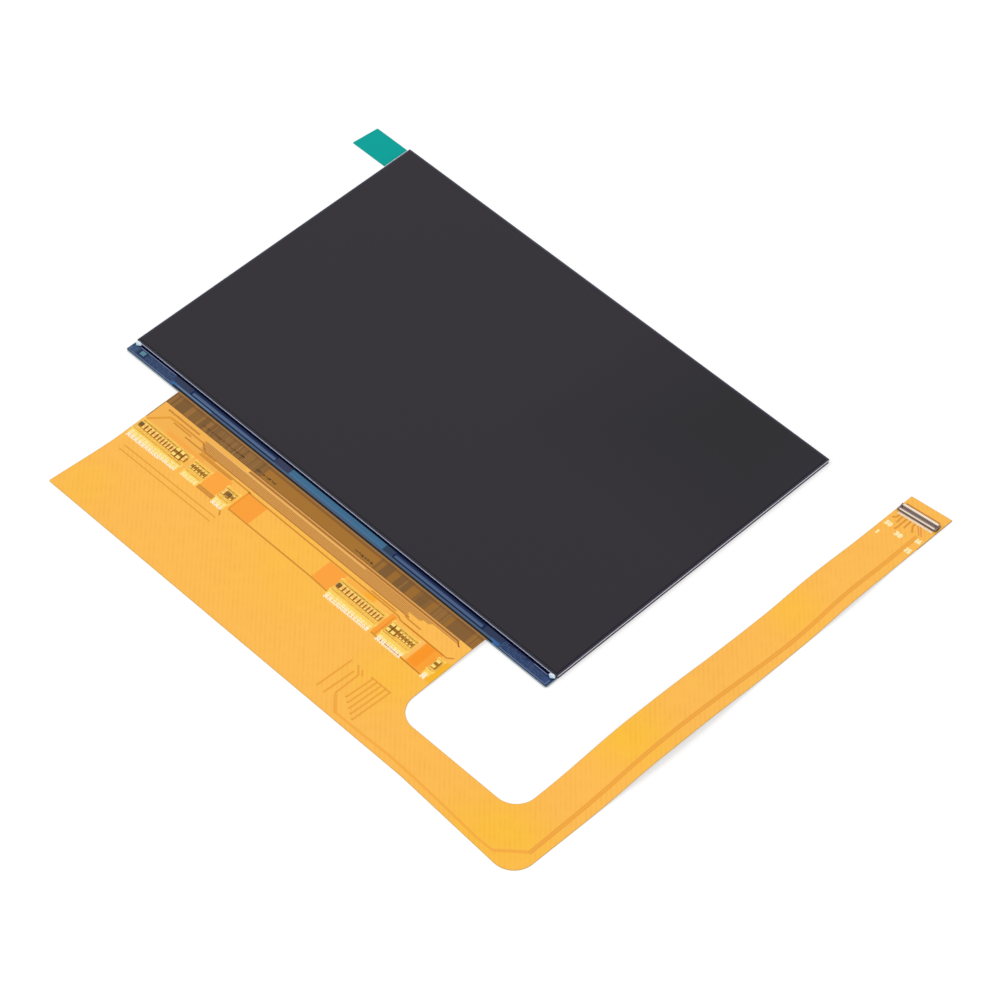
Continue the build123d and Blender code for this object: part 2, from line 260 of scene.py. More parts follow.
@node_group(
    "fine grain", "Shader",
    {
        "Place": "Vector", "Colour": "Color", "Scale": "Float", "Spread": "Float",
        "Roughness": "Float", "Gloss Spread": "Float",
    },
    {"Colour": "Color", "Roughness": "Float", "Height": "Float"},
)
def grain_group(net: Wiring, given: dict) -> tuple[Socket, ...]:
    """Fine grain: uneven colour, gloss and height from one noise."""
    noise = net.noise(given["Place"], given["Scale"])
    swing = net.math("SUBTRACT", noise, 0.5)
    gain = net.math("MULTIPLY_ADD", swing, given["Spread"], 1.0)
    rough = net.math("MULTIPLY_ADD", swing, given["Gloss Spread"], given["Roughness"])
    return net.scale(given["Colour"], gain), rough, noise


@node_group(
    "even lines", "Shader",
    {"Coordinate": "Float", "Pitch": "Float", "Share": "Float", "Blur": "Float"},
    {"Mask": "Float"},
)
def lines_group(net: Wiring, given: dict) -> tuple[Socket]:
    """Even lines along one coordinate."""
    half = net.math("MULTIPLY", given["Pitch"], 0.5)
    away = net.math("PINGPONG", given["Coordinate"], half)
    inside = net.math("SUBTRACT", net.math("MULTIPLY", half, given["Share"]), away)
    return (net.soft_edge(inside, given["Blur"]),)


@node_group(
    "soft patch", "Shader",
    {"Place": "Vector", "Centre": "Vector", "Half": "Vector", "Blur": "Float"},
    {"Mask": "Float"},
)
def patch_group(net: Wiring, given: dict) -> tuple[Socket]:
    """Rectangle in plan with soft edges."""
    offset = net.vector("ABSOLUTE", net.vector("SUBTRACT", given["Place"], given["Centre"]))
    across, along, _ = net.split(net.vector("SUBTRACT", given["Half"], offset))
    return (net.soft_edge(net.math("MINIMUM", across, along), given["Blur"]),)


@node_group(
    "soft pool", "Shader", {"Place": "Vector", "Centre": "Vector", "Radius": "Float"},
    {"Mask": "Float"},
)
def pool_group(net: Wiring, given: dict) -> tuple[Socket]:
    """Round spot in plan that fades out to its radius."""
    offset = net.vector("SUBTRACT", given["Place"], given["Centre"])
    flat = net.vector("MULTIPLY", offset, (1.0, 1.0, 0.0))
    away = net.add("ShaderNodeVectorMath", {0: flat}, operation="LENGTH").outputs["Value"]
    share = net.math("DIVIDE", away, given["Radius"])
    inputs = {"Value": share, "To Min": 1.0, "To Max": 0.0}
    return (net.shade("MapRange", inputs, interpolation_type="SMOOTHSTEP"),)


@dataclass(frozen=True)
class Patch:
    """A field of another colour: its low and high corner in plan, and how soft its edge is."""

    low: Point
    high: Point
    colour: Colour
    strength: float = 1.0
    blur: float = 0.12

    def mask(self, net: Wiring, place: Socket) -> Socket:
        """Return how much of the patch covers each place."""
        centre = [(low + high) / 2 for low, high in zip(self.low, self.high)]
        half = [(high - low) / 2 for low, high in zip(self.low, self.high)]
        inputs = {
            "Place": place, "Centre": (*centre, 0.0), "Half": (*half, 1.0), "Blur": self.blur
        }
        return net.math("MULTIPLY", net.group(patch_group(), inputs)[0], self.strength)


@dataclass(frozen=True)
class Pool:
    """A soft round field of another tone, such as a painted pool of light."""

    centre: Point
    radius: float
    strength: float = 1.0

    def mask(self, net: Wiring, place: Socket) -> Socket:
        """Return how much of the pool covers each place."""
        inputs = {"Place": place, "Centre": (*self.centre, 0.0), "Radius": self.radius}
        return net.math("MULTIPLY", net.group(pool_group(), inputs)[0], self.strength)


def blank_material(name: str) -> tuple[bpy.types.Material, Wiring]:
    """Make a material without nodes and return it with its wiring."""
    material = bpy.data.materials.new(name)
    material.use_nodes = True
    material.node_tree.nodes.clear()
    return material, Wiring(material.node_tree)


@dataclass(frozen=True)
class Finish:
    """A plain finish with fine grain in its colour, gloss and relief.

    Grain scale is in grains per millimetre and relief is in millimetres.
    """

    name: str
    colour: Colour
    roughness: float = 0.5
    specular: float = 0.3
    grain_scale: float = 6.0
    grain_spread: float = 0.08
    gloss_spread: float = 0.06
    relief: float = 0.004

    def paint(self, net: Wiring, place: Socket) -> object:
        """Return the colour before the grain: a constant or an output."""
        return self.colour

    def height(self, net: Wiring, place: Socket, grain: Socket) -> Socket:
        """Return the relief's height from 0 to 1."""
        return grain

    def extra(self) -> dict[str, float]:
        """Return the constant shader inputs that only this kind of finish has."""
        return {}

    def material(self) -> bpy.types.Material:
        """Return the material, made when it is first asked for."""
        found = bpy.data.materials.get(self.name)
        if found:
            return found
        material, net = blank_material(self.name)
        place = net.place()
        inputs = {
            "Place": place,
            "Colour": self.paint(net, place),
            "Scale": self.grain_scale,
            "Spread": self.grain_spread,
            "Roughness": self.roughness,
            "Gloss Spread": self.gloss_spread,
        }
        colour, roughness, grain = net.group(grain_group(), inputs)
        height = self.height(net, place, grain)
        inputs = {
            "Base Color": colour,
            "Roughness": roughness,
            "Specular IOR Level": self.specular,
            "Normal": net.shade("Bump", {"Height": height, "Distance": self.relief * MM}),
            **self.extra(),
        }
        net.add("ShaderNodeOutputMaterial", {"Surface": net.shade("BsdfPrincipled", inputs)})
        return material


@dataclass(frozen=True)
class SeeThrough(Finish):
    """A clear solid: glass, or a film so thin that it only veils what is under it."""

    clear: float = 1.0
    veil: float = 1.0
    index: float = 1.5

    def extra(self) -> dict[str, float]:
        """Let the light through."""
        return {"Transmission Weight": self.clear, "Alpha": self.veil, "IOR": self.index}


@dataclass(frozen=True)
class FilmFinish(Finish):
    """Amber film over hatched copper, with warmer pools, some painted light, and fields of other
    tones.
    """

    warm: Colour = seen(254, 195, 62)
    hatch: Colour = seen(222, 146, 48)
    hatch_pitch: float = 1.15
    hatch_strength: float = 0.22
    mottle: Colour = seen(250, 182, 92)
    pools: tuple[Pool, ...] = ()
    patches: tuple[Patch, ...] = ()

    def hatching(self, net: Wiring, place: Socket) -> Socket:
        """Return the mask of the copper's diagonal hatch."""
        x, y, _ = net.split(place)
        masks = []
        for operation, pitch in (("ADD", self.hatch_pitch), ("SUBTRACT", self.hatch_pitch / 2)):
            diagonal = net.math("MULTIPLY", net.math(operation, x, y), math.sqrt(0.5))
            inputs = {"Coordinate": diagonal, "Pitch": pitch, "Share": 0.4, "Blur": pitch / 5}
            masks.append(net.group(lines_group(), inputs)[0])
        return net.math("MAXIMUM", masks[0], net.math("MULTIPLY", masks[1], 0.35))

    def paint(self, net: Wiring, place: Socket) -> object:
        """Lay pools, some of them painted light, then hatch and patches over the film's own
        colour.
        """
        colour = self.colour
        for pool in self.pools:
            colour = net.blend(pool.mask(net, place), colour, self.warm)
        cloud = net.noise(place, 0.09, 2.0)
        drift = net.math("MULTIPLY_ADD", cloud, 1.6, -0.62, clamp=True)
        colour = net.blend(net.math("MULTIPLY", drift, 0.3), colour, self.mottle)
        reach = net.math("MULTIPLY_ADD", net.noise(place, 0.35), 2.4, -0.75, clamp=True)
        lines = net.math("MULTIPLY", self.hatching(net, place), reach)
        colour = net.blend(net.math("MULTIPLY", lines, self.hatch_strength), colour, self.hatch)
        for patch in self.patches:
            colour = net.blend(patch.mask(net, place), colour, patch.colour)
        return colour

    def height(self, net: Wiring, place: Socket, grain: Socket) -> Socket:
        """Raise the hatch lines a little over the grain."""
        lines = net.math("MULTIPLY", self.hatching(net, place), 0.6)
        return net.math("MULTIPLY_ADD", grain, 0.4, lines)


@dataclass(frozen=True)
class FieldFinish(Finish):
    """A coat or film with plain fields of other colours, and fine stripes across some."""

    fields: tuple[Patch, ...] = ()
    striped: tuple[Patch, ...] = ()
    stripe_pitch: float = 0.4
    mottle: Colour = seen(40, 52, 82)
    mottle_scale: float = 1.4
    origin: Point = (0.0, 0.0)
    turn: float = 0.0

    def paint(self, net: Wiring, place: Socket) -> object:
        """Lay the fields over the coat, then the stripes."""
        cloud = net.noise(place, self.mottle_scale)
        drift = net.math("MULTIPLY_ADD", cloud, 2.0, -0.6, clamp=True)
        colour = net.blend(net.math("MULTIPLY", drift, 0.5), self.colour, self.mottle)
        if self.turn:
            inputs = {"Vector": place, "Center": (*self.origin, 0.0), "Angle": -self.turn}
            place = net.vector("SUBTRACT", net.shade("VectorRotate", inputs), (*self.origin, 0.0))
        for patch in self.fields:
            colour = net.blend(patch.mask(net, place), colour, patch.colour)
        inputs = {
            "Coordinate": net.split(place)[0], "Pitch": self.stripe_pitch, "Share": 0.5,
            "Blur": 0.08,
        }
        stripes = net.group(lines_group(), inputs)[0]
        for patch in self.striped:
            share = net.math("MULTIPLY", patch.mask(net, place), stripes)
            colour = net.blend(share, colour, patch.colour)
        return colour


@dataclass(frozen=True)
class EndedFinish(Finish):
    """A small part in a row along X, with tinned ends and flanks in another colour, which is
    painted shade on the capacitors.
    """

    row_y: float = 0.0
    body_half: float = 0.45
    flank_rise: float = 0.6
    tin: Colour = seen(255, 226, 128)
    # Default flank colour of the upright faces: painted shade on the capacitors' sides.
    flank: Colour = seen(206, 150, 74)

    def paint(self, net: Wiring, place: Socket) -> object:
        """Tin the ends beyond the body and give what stands upright the flank colour, painted
        shade on the capacitors.
        """
        away = net.math("ABSOLUTE", net.math("SUBTRACT", net.split(place)[1], self.row_y))
        ends = net.math("GREATER_THAN", away, self.body_half)
        colour = net.blend(ends, self.colour, self.tin)
        normal = net.add("ShaderNodeTexCoord").outputs["Normal"]
        upright = net.math("LESS_THAN", net.split(normal)[2], self.flank_rise)
        return net.blend(upright, colour, self.flank)


@dataclass(frozen=True)
class TonedFinish(Finish):
    """Copper bars whose tone comes from the attribute that their tree stores."""

    dark: Colour = seen(112, 88, 58)

    def paint(self, net: Wiring, place: Socket) -> object:
        """Mix the two tones by the stored value."""
        tone = net.add("ShaderNodeAttribute", attribute_name="tone").outputs["Fac"]
        return net.blend(tone, self.colour, self.dark)


def trace_finish(name: str, red: int, green: int, blue: int, spread: float) -> Finish:
    """Return the finish of a trace that shows through the cover film."""
    return Finish(name, seen(red, green, blue), roughness=0.35, grain_spread=spread)


def linked(name: str, data: object) -> Piece:
    """Make an object of some data and link it to the scene."""
    piece = bpy.data.objects.new(name, data)
    bpy.context.scene.collection.objects.link(piece)
    return piece


def mesh_object(
    name: str, vertices: Iterable = (), edges: Iterable = (), faces: Iterable = ()
) -> Piece:
    """Make a mesh object from lists in millimetres."""
    mesh = bpy.data.meshes.new(name)
    mesh.from_pydata([Vector(v) * MM for v in vertices], list(edges), list(faces))
    return linked(name, mesh)


def surface_object(name: str, surface: bmesh.types.BMesh, *finishes: Finish) -> Piece:
    """Make a mesh object of an edited surface, which is freed, with its finishes in order."""
    mesh = bpy.data.meshes.new(name)
    surface.to_mesh(mesh)
    surface.free()
    for finish in finishes:
        mesh.materials.append(finish.material())
    return linked(name, mesh)


def path_object(name: str, paths: Iterable[Path]) -> Piece:
    """Make a mesh of bare edges along each path in plan, closed where it ends at its start."""
    vertices = []
    edges = []
    for path in paths:
        first = len(vertices)
        closed = path[0] == path[-1]
        vertices += [(x, y, 0.0) for x, y in (path[:-1] if closed else path)]
        edges += [(n, n + 1) for n in range(first, len(vertices) - 1)]
        if closed:
            edges.append((len(vertices) - 1, first))
    return mesh_object(name, vertices, edges)


def ring(low: Point, high: Point) -> list[Point]:
    """Return a closed rectangle in plan."""
    return [low, (high[0], low[1]), high, (low[0], high[1]), low]


def evaluated_mesh(source: Piece) -> bpy.types.Mesh:
    """Return what an object looks like after its modifiers, as a new mesh."""
    graph = bpy.context.evaluated_depsgraph_get()
    return bpy.data.meshes.new_from_object(source.evaluated_get(graph), depsgraph=graph)


def grow(source: Piece, tree: Tree, values: dict) -> Piece:
    """Run a geometry tree on an object and keep the result as a plain mesh.

    Args:
        source: The object that the tree starts from, which the result replaces.
        tree: The geometry tree.
        values: Values for the tree's inputs, by name.

    Returns:
        The finished mesh object, under the source's name.
    """
    modifier = source.modifiers.new(tree.name, "NODES")
    modifier.node_group = tree
    for item in tree.interface.items_tree:
        if item.in_out == "INPUT" and item.name in values:
            modifier[item.identifier] = values[item.name]
    mesh = evaluated_mesh(source)
    source.modifiers.remove(modifier)
    name = source.name
    bpy.data.objects.remove(source)
    return linked(name, mesh)


@node_group("drape", "Geometry", {**GEOMETRY, "Surface": "Object", "Lift": "Float"}, GEOMETRY)
def drape_group(net: Wiring, given: dict) -> tuple[Socket]:
    """Lower each point straight down onto a surface, keeping its own height above it."""
    x, y, z = net.split(net.shape("InputPosition"))
    inputs = {
        "Target Geometry": net.shape_of(given["Surface"]),
        "Source Position": net.shade("CombineXYZ", {"X": x, "Y": y, "Z": RAY_HEIGHT}),
        "Ray Direction": (0.0, 0.0, -1.0),
        "Ray Length": 2 * RAY_HEIGHT,
    }
    ray = net.add("GeometryNodeRaycast", inputs).outputs
    inputs = {"Switch": ray["Is Hit"], "True": net.split(ray["Hit Position"])[2]}
    ground = net.shape("Switch", inputs, input_type="FLOAT")
    height = net.math("ADD", net.math("ADD", ground, z), given["Lift"])
    target = net.shade("CombineXYZ", {"X": x, "Y": y, "Z": height})
    return (net.shape("SetPosition", {"Geometry": given["Geometry"], "Position": target}),)


def finished(net: Wiring, given: dict, shape: Socket) -> tuple[Socket]:
    """End a geometry tree: realize the shape and give it its material."""
    whole = net.shape("RealizeInstances", {"Geometry": shape})
    return (net.shape("SetMaterial", {"Geometry": whole, "Material": given["Material"]}),)


def laid_group(name: str, takes: dict[str, str]) -> Callable:
    """Make a geometry tree of a function that returns a shape, which is laid on a surface.

    Args:
        name: The tree's name.
        takes: Its own inputs, besides what every laid shape has.

    Returns:
        A decorator for the function.
    """

    def decorate(wire: Callable) -> Callable:
        """Wrap the function that returns the shape."""

        def lay(net: Wiring, given: dict) -> tuple[Socket]:
            """Drape the shape and finish it."""
            real = net.shape("RealizeInstances", {"Geometry": wire(net, given)})
            inputs = {"Geometry": real, "Surface": given["Surface"], "Lift": given["Lift"]}
            laid = net.group(drape_group(), inputs)[0]
            flat = net.shape("SetShadeSmooth", {"Geometry": laid, "Shade Smooth": False})
            return finished(net, given, flat)

        return node_group(name, "Geometry", {**GEOMETRY, **takes, **LAID}, GEOMETRY)(lay)

    return decorate


@laid_group("laid print", {})
def laid_tree(net: Wiring, given: dict) -> Socket:
    """A finished flat mesh."""
    return given["Geometry"]


@laid_group("laid strips", {"Width": "Float", "Thickness": "Float", "Cuts": "Int"})
def strip_tree(net: Wiring, given: dict) -> Socket:
    """Flat strips along the edges of a mesh."""
    curve = net.shape("MeshToCurve", {"Mesh": given["Geometry"]})
    fine = net.shape("SubdivideCurve", {"Curve": curve, "Cuts": given["Cuts"]})
    level = net.shape("SetCurveNormal", {"Curve": fine}, mode="Z_UP")
    inputs = {"Width": given["Width"], "Height": given["Thickness"]}
    return net.sweep(level, net.shape("CurvePrimitiveQuadrilateral", inputs))


@node_group(
    "round bead", "Geometry",
    {**GEOMETRY, "Radius": "Float", "Sides": "Int", "Material": "Material"}, GEOMETRY,
)
def bead_tree(net: Wiring, given: dict) -> tuple[Socket]:
    """Round bead along the edges of a mesh, at their own height."""
    curve = net.shape("MeshToCurve", {"Mesh": given["Geometry"]})
    inputs = {"Resolution": given["Sides"], "Radius": given["Radius"]}
    return finished(net, given, net.sweep(curve, net.shape("CurvePrimitiveCircle", inputs)))


@laid_group(
    "uneven bars",
    {
        "Count": "Int", "Start": "Vector", "Step": "Vector", "Smallest": "Vector",
        "Largest": "Vector", "Wander": "Vector", "Seed": "Int",
    },
)
def bar_tree(net: Wiring, given: dict) -> Socket:
    """A row of bars of uneven width, length and tone."""
    seed = given["Seed"]
    inputs = {"Count": given["Count"], "Start Location": given["Start"], "Offset": given["Step"]}
    row = net.shape("MeshLine", inputs)
    drift = net.scale(given["Wander"], -1.0)
    shift = net.random("FLOAT_VECTOR", seed, Min=drift, Max=given["Wander"])
    spread = net.shape("SetPosition", {"Geometry": row, "Offset": shift})
    block = net.shape("MeshCube", {"Size": (1.0, 1.0, 1.0), "Vertices Y": 7})
    limits = {"Min": given["Smallest"], "Max": given["Largest"]}
    size = net.random("FLOAT_VECTOR", net.math("ADD", seed, 1.0), **limits)
    bars = net.shape("InstanceOnPoints", {"Points": spread, "Instance": block, "Scale": size})
    tone = net.random("FLOAT", net.math("ADD", seed, 2.0))
    inputs = {"Geometry": bars, "Name": "tone", "Value": tone}
    return net.shape("StoreNamedAttribute", inputs, domain="INSTANCE", data_type="FLOAT")


@laid_group(
    "tile field",
    {
        "Centre": "Vector", "Length": "Float", "Width": "Float", "Columns": "Int",
        "Rows": "Int", "Tile": "Vector", "Left Out": "Float", "Seed": "Int",
    },
)
def tile_tree(net: Wiring, given: dict) -> Socket:
    """A field of small tiles, some of them left out."""
    names = {"Size X": "Length", "Size Y": "Width", "Vertices X": "Columns", "Vertices Y": "Rows"}
    grid = net.shape("MeshGrid", {socket: given[name] for socket, name in names.items()})
    moved = net.shape("SetPosition", {"Geometry": grid, "Offset": given["Centre"]})
    chance = net.random("BOOLEAN", given["Seed"], Probability=given["Left Out"])
    kept = net.add("FunctionNodeBooleanMath", {0: chance}, operation="NOT").outputs[0]
    block = net.shape("MeshCube", {"Size": given["Tile"]})
    inputs = {"Points": moved, "Instance": block, "Selection": kept}
    return net.shape("InstanceOnPoints", inputs)


@laid_group("placed copies", {"Shape": "Object"})
def copies_tree(net: Wiring, given: dict) -> Socket:
    """A copy of one small shape at each point of a mesh, turned and scaled by stored values."""
    turn, size = (
        net.shape("InputNamedAttribute", {"Name": name}, data_type="FLOAT_VECTOR")
        for name in ("turn", "size")
    )
    inputs = {
        "Points": given["Geometry"],
        "Instance": net.shape_of(given["Shape"]),
        "Rotation": net.add("FunctionNodeEulerToRotation", {0: turn}).outputs[0],
        "Scale": size,
    }
    return net.shape("InstanceOnPoints", inputs)


@dataclass(frozen=True)
class Island:
    """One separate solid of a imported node: its lowest and highest corner in millimetres."""

    low: Vector
    high: Vector

    @property
    def centre(self) -> Vector:
        """Middle of the solid's box."""
        return (self.low + self.high) / 2

    @property
    def size(self) -> Vector:
        """Lengths of the solid's box."""
        return self.high - self.low


def merged_copy(node: str) -> bmesh.types.BMesh:
    """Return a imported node's triangles as one joined surface, left as they are in the node."""
    surface = bmesh.new()
    surface.from_mesh(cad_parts[node].data)
    bmesh.ops.remove_doubles(surface, verts=surface.verts, dist=SAME_PLACE)
    return surface


def joined_sets(near: dict) -> list[list]:
    """Split the keys into groups that are joined, given the neighbours of each key."""
    left = dict.fromkeys(near)
    groups = []
    while left:
        heap = [left.popitem()[0]]
        group = []
        while heap:
            item = heap.pop()
            group.append(item)
            for other in near[item]:
                if other in left:
                    del left[other]
                    heap.append(other)
        groups.append(group)
    return groups


def islands(node: str) -> list[Island]:
    """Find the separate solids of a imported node, in order along X."""
    surface = merged_copy(node)
    near = {v: [edge.other_vert(v) for edge in v.link_edges] for v in surface.verts}
    found = []
    for members in joined_sets(near):
        axes = list(zip(*(vertex.co / MM for vertex in members)))
        found.append(Island(Vector(map(min, axes)), Vector(map(max, axes))))
    surface.free()
    return sorted(found, key=lambda island: island.centre.x)


@dataclass(frozen=True)
class Rim:
    """One closed upper edge of a film, pulled in from the film's side."""

    spots: tuple[Vector, ...]
    edges: tuple[tuple[int, int], ...]

    @property
    def low(self) -> Point:
        """Lowest corner in plan."""
        return (min(spot.x for spot in self.spots), min(spot.y for spot in self.spots))

    @property
    def high(self) -> Point:
        """Highest corner in plan."""
        return (max(spot.x for spot in self.spots), max(spot.y for spot in self.spots))


def rims(node: str, inset: float) -> list[Rim]:
    """Find the closed upper edges of a packed film.

    Args:
        node: The film's node.
        inset: How far the edges are pulled in from the film's side.

    Returns:
        The edges, in order along X.
    """
    surface = merged_copy(node)
    outward = {}
    near = {}
    for edge in surface.edges:
        walls = [face for face in edge.link_faces if abs(face.normal.z) < WALL_RISE]
        tops = [face for face in edge.link_faces if face.normal.z > TOP_RISE]
        if len(walls) == 1 and len(tops) == 1:
            for vertex in edge.verts:
                outward[vertex] = outward.get(vertex, Vector()) + walls[0].normal
                near.setdefault(vertex, []).append(edge.other_vert(vertex))
    found = []
    for group in joined_sets(near):
        members = {vertex: number for number, vertex in enumerate(group)}
        spots = tuple(v.co / MM - outward[v].normalized() * inset for v in members)
        pairs = {tuple(sorted((members[v], members[w]))) for v in members for w in near[v]}
        found.append(Rim(spots, tuple(sorted(pairs))))
    surface.free()
    return sorted(found, key=lambda rim: rim.low)


@dataclass(frozen=True)
class Label:
    """A plain number printed in a box in plan, upright or running along Y."""

    text: str
    low: Point
    high: Point
    turned: bool = False


def number_mesh(text: str, weight: float) -> bpy.types.Mesh:
    """Make a plain number as a thin solid of no set size, its strokes fattened by a weight."""
    curve = bpy.data.curves.new("number", "FONT")
    curve.body = text
    curve.offset = weight
    curve.extrude = 0.1
    curve.resolution_u = 2
    holder = linked("number", curve)
    mesh = evaluated_mesh(holder)
    bpy.data.objects.remove(holder)
    return mesh


class SubAssembly:
    """What every sub-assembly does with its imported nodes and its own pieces."""

    def dress(self, finish: Finish, *nodes: str) -> None:
        """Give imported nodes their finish."""
        for node in nodes:
            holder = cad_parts[node]
            if not holder.data.materials:
                holder.data.materials.append(None)
            for slot in holder.material_slots:
                slot.material = finish.material()

    def keep(self, piece: Piece, slot: Slot, *nodes: str) -> None:
        """Fix a finished piece to the body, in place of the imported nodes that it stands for."""
        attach(piece, BODY)
        if nodes:
            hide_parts(*nodes)
        log.info("%s: %d faces", piece.name, len(piece.data.polygons))

    def lay(
        self, source: Piece, tree: Tree, finish: Finish, slot: Slot, rest: Rest, values: dict
    ) -> None:
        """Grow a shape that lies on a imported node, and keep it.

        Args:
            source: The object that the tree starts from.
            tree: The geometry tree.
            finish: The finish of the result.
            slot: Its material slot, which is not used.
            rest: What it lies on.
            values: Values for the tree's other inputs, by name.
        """
        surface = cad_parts[rest.value]
        values = {"Surface": surface, "Material": finish.material(), **values}
        self.keep(grow(source, tree, values), slot)

    def strips(
        self, name: str, paths: Iterable[Path], width: float, finish: Finish,
        thickness: float = INK_HEIGHT, lift: float = 0.0, cuts: int = 12,
        slot: Slot = Slot.COVER_FILM, rest: Rest = Rest.FRONT_COVER
    ) -> None:
        """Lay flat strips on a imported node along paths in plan."""
        values = {
            "Width": width * MM, "Thickness": thickness * MM, "Cuts": cuts, "Lift": lift * MM
        }
        self.lay(path_object(name, paths), strip_tree(), finish, slot, rest, values)

    def bars(
        self, name: str, run: Point, y: float, pitch: float, sizes: tuple[Size, Size],
        finish: Finish, seed: int, wander: Size = (0.06, 0.0, 0.0), lift: float = 0.0,
        slot: Slot = Slot.AMBER_FILM, rest: Rest = Rest.BASE_FILM
    ) -> None:
        """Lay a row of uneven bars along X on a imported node."""
        smallest, largest = (Vector(size) * MM for size in sizes)
        values = {
            "Count": int((run[1] - run[0]) / pitch) + 1,
            "Start": Vector((run[0], y, 0.0)) * MM,
            "Step": Vector((pitch, 0.0, 0.0)) * MM,
            "Smallest": smallest,
            "Largest": largest,
            "Wander": Vector(wander) * MM,
            "Seed": seed,
            "Lift": lift * MM,
        }
        self.lay(mesh_object(name, [(0, 0, 0)]), bar_tree(), finish, slot, rest, values)

    def printing(
        self, name: str, labels: Iterable[Label], finish: Finish, weight: float
    ) -> None:
        """Print plain numbers on the front cover, each scaled to its box."""
        ink = bmesh.new()
        for label in labels:
            first = len(ink.verts)
            ink.from_mesh(number_mesh(label.text, weight))
            ink.verts.ensure_lookup_table()
            fresh = ink.verts[first:]
            if label.turned:
                for vertex in fresh:
                    vertex.co = Vector((-vertex.co.y, vertex.co.x, vertex.co.z))
            box = (*zip(label.low, label.high), (0.0, INK_HEIGHT))
            for axis, (start, end) in enumerate(box):
                least = min(vertex.co[axis] for vertex in fresh)
                most = max(vertex.co[axis] for vertex in fresh)
                for vertex in fresh:
                    share = (vertex.co[axis] - least) / (most - least)
                    vertex.co[axis] = (start + (end - start) * share) * MM
        bmesh.ops.remove_doubles(ink, verts=ink.verts, dist=SAME_PLACE)
        source = surface_object(name, ink)
        self.lay(source, laid_tree(), finish, Slot.COVER_FILM, Rest.FRONT_COVER, {})

    def fillets(
        self, name: str, sides: int, spots: Sequence, turn: float, sizes: Sequence[Size],
        finish: Finish
    ) -> None:
        """Set a solder fillet of its own size at each spot on the base film."""
        source = mesh_object(name, spots)
        for label, values in (("turn", [(0.0, 0.0, turn)] * len(spots)), ("size", sizes)):
            layer = source.data.attributes.new(label, "FLOAT_VECTOR", "POINT")
            for number, value in enumerate(values):
                layer.data[number].vector = value
        shape = land_shape(sides)
        values = {"Shape": shape}
        self.lay(source, copies_tree(), finish, Slot.CONTACT_METAL, Rest.BASE_FILM, values)
        bpy.data.objects.remove(shape)

    def bevelled(self, name: str, node: str, width: float, *finishes: Finish) -> Piece:
        """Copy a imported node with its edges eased.

        Args:
            name: The name of the copy.
            node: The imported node.
            width: How far the edges are cut back.
            finishes: The finish of the level, the eased and the upright faces.

        Returns:
            The copy.
        """
        surface = merged_copy(node)
        parts = {"verts": surface.verts, "edges": surface.edges}
        bmesh.ops.dissolve_limit(surface, angle_limit=math.radians(1), **parts)
        edges = list(surface.edges)
        result = bmesh.ops.bevel(
            surface, geom=edges, offset=width * MM, segments=1, affect="EDGES"
        )
        for face in result["faces"]:
            face.material_index = 1
        surface.normal_update()
        for face in surface.faces:
            if abs(face.normal.z) < SIDE_RISE:
                face.material_index = 2
        return surface_object(name, surface, *finishes)


@cache
def part_windows() -> tuple[Rim, ...]:
    """The front cover's windows over the small parts, in order along X."""
    found = rims(Rest.FRONT_COVER.value, WINDOW_INSET)
    front, back = WINDOW_BAND
    return tuple(rim for rim in found if front < rim.low[1] and rim.high[1] < back)


def header_frame() -> tuple[Vector, float]:
    """Centre of the header in plan, and the angle that its length makes with X."""
    left, right = (island.centre for island in islands("header_anchors"))
    along = right - left
    return (left + right) / 2, math.atan2(along.y, along.x)


